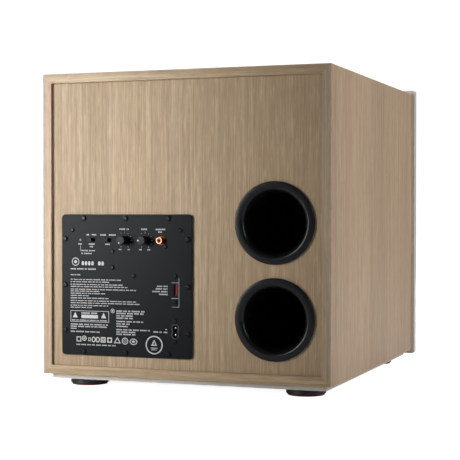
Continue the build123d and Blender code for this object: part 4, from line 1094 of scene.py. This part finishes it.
def symbol_mark(corners, across, up, radius, line, turn, squeeze):
    """A round or cornered mark, filled or outlined."""
    centre = on_plate(across, up)
    let_go()
    bpy.ops.mesh.primitive_circle_add(
        vertices=corners, radius=radius * mm, fill_type="NGON", location=centre,
        rotation=(quarter_turn, math.radians(turn), 0),
    )
    piece = open_new("mark")
    pick_all("FACE")
    bpy.ops.transform.resize(value=(squeeze, 1, 1), center_override=centre)
    if line:
        bpy.ops.mesh.inset(thickness=line * mm)
        bpy.ops.mesh.delete(type="FACE")
    raise_ink(piece)


def bar_mark(left, right, low, high, turn=0.0, about=(0.0, 0.0)):
    """A plain bar, turned about a point of the plate."""
    let_go()
    bpy.ops.mesh.primitive_plane_add(
        size=1, location=on_plate((left + right) / 2, (low + high) / 2), rotation=(quarter_turn, 0, 0)
    )
    bpy.context.object.scale = ((left - right) * mm, (high - low) * mm, 1)
    piece = open_new("mark")
    pick_all("FACE")
    if turn:
        bpy.ops.transform.rotate(
            value=math.radians(turn), orient_axis="Y", center_override=on_plate(*about)
        )
    raise_ink(piece)


def frame_mark(left, right, low, high, line):
    """A rectangular outline."""
    for bar in (
        (left, right, high - line, high), (left, right, low, low + line),
        (left, left - line, low + line, high - line), (right + line, right, low + line, high - line),
    ):
        bar_mark(*bar)


def make_word(letters, height):
    """A word of plain blocks, its left end at the origin."""
    width = letter_width * height * mm
    let_go()
    bpy.ops.mesh.primitive_cube_add(
        size=1, location=(-width / 2, ink_thickness / 2, 0), scale=(width, ink_thickness, height * mm)
    )
    piece = open_new("word")
    pick(piece, "EDGE", lambda edge: abs(edge.verts[0].co.y - edge.verts[1].co.y) > ink_thickness / 2)
    bpy.ops.mesh.bevel(offset=width * letter_corner, segments=1, affect="EDGES")
    close(piece)
    modify(
        piece, "ARRAY", count=letters, use_relative_offset=False, use_constant_offset=True,
        constant_offset_displace=(-letter_pitch * width, 0, 0),
    )
    mesh = piece.data
    bpy.data.objects.remove(piece)
    return mesh


def print_line(left, right, up, height, words, chance):
    """One line of words of plain blocks, from left to right as it is read from behind."""
    letter = letter_width * height * letter_pitch
    shortest = 1.5 * letter
    cursor = left
    while cursor - right > shortest:
        room = int((cursor - right) / letter)
        letters = min(room, chance.choice(word_lengths))
        if room - letters < fewest_letters:
            letters = room
        if (letters, height) not in words:
            words[(letters, height)] = make_word(letters, height)
        mesh = words[(letters, height)].copy()
        place = on_plate(cursor, up)
        for corner in mesh.vertices:
            corner.co += place
        mark = bpy.data.objects.new("mark", mesh)
        bpy.context.scene.collection.objects.link(mark)
        marks.append(mark)
        cursor -= (letters + word_gap) * letter


def knob_scale(node):
    """The ring of ticks round a knob."""
    axis = centre_of(node)
    across = (axis.x - plate_middle.x) / mm
    up = (axis.z - plate_middle.z) / mm
    for number in range(ticks):
        end = tick_end if number % ticks_to_long_one else long_tick_end
        bar_mark(
            across + tick_half_width, across - tick_half_width, up + tick_start, up + end,
            low_stop + tick_turn * number, (across, up),
        )


def make_print():
    """All the print on the plate, joined into one piece."""
    chance = random.Random(5)
    words = {}
    for line in print_lines:
        print_line(*line, words, chance)
    for bar in print_bars:
        bar_mark(*bar)
    for symbol in print_symbols:
        symbol_mark(*symbol)
    frame_mark(*print_outline)
    knob_scale("crossover_knob")
    knob_scale("volume_knob")
    let_go()
    for mark in marks:
        mark.select_set(True)
    bpy.context.view_layer.objects.active = marks[0]
    bpy.ops.object.join()
    piece = bpy.context.object
    piece.name = "plate_print"
    piece.data.name = "plate_print"
    bpy.ops.object.transform_apply(location=True, rotation=True, scale=True)
    dress(piece, "print_ink")
    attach(piece, "cabinet")


def make_pointer(name, node, body, degrees):
    """The white dot on a knob's face. Degrees turn clockwise from the top, as seen from behind."""
    dot_radius = 0.95 * mm
    dot_rise = 0.18 * mm
    dot_slope = 0.2 * mm
    dot_crown = 0.05 * mm
    dot_reach_share = 0.64
    front = box_round(node)[1].y
    reach = dot_reach_share * half_width(node)
    angle = math.radians(degrees)
    place = centre_of(node) + Vector((-reach * math.sin(angle), 0, reach * math.cos(angle)))
    place.y = front
    let_go()
    bpy.ops.mesh.primitive_circle_add(
        vertices=24, radius=dot_radius, fill_type="NGON", location=place, rotation=(quarter_turn, 0, 0)
    )
    piece = open_new(name)
    pick_all("FACE")
    extrude(0, dot_rise, 0)
    pick(piece, "FACE", lambda face: face.calc_center_median().y > front + 0.9 * dot_rise)
    bpy.ops.mesh.inset(thickness=dot_slope)
    bpy.ops.transform.translate(value=(0, dot_crown, 0))
    close(piece)
    smooth(piece, 40)
    dress(piece, "pointer_ink")
    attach(piece, body)


# ---------------------------------------------------------------- the whole
finishes = make_finishes()
bpy.context.scene.view_settings.view_transform = "Standard"
set_camera()
set_lamps()
set_sky()
set_floor()
dress_nodes()
make_surround()
make_spider()
make_port_mouth("upper_port_mouth", "upper_port_flare")
make_port_mouth("lower_port_mouth", "lower_port_flare")
make_wadding()
make_grille_cloth()
make_print()
make_pointer("crossover_pointer", "crossover_knob", "crossover_control", low_stop)
make_pointer("volume_pointer", "volume_knob", "volume_control", volume_at_rest)
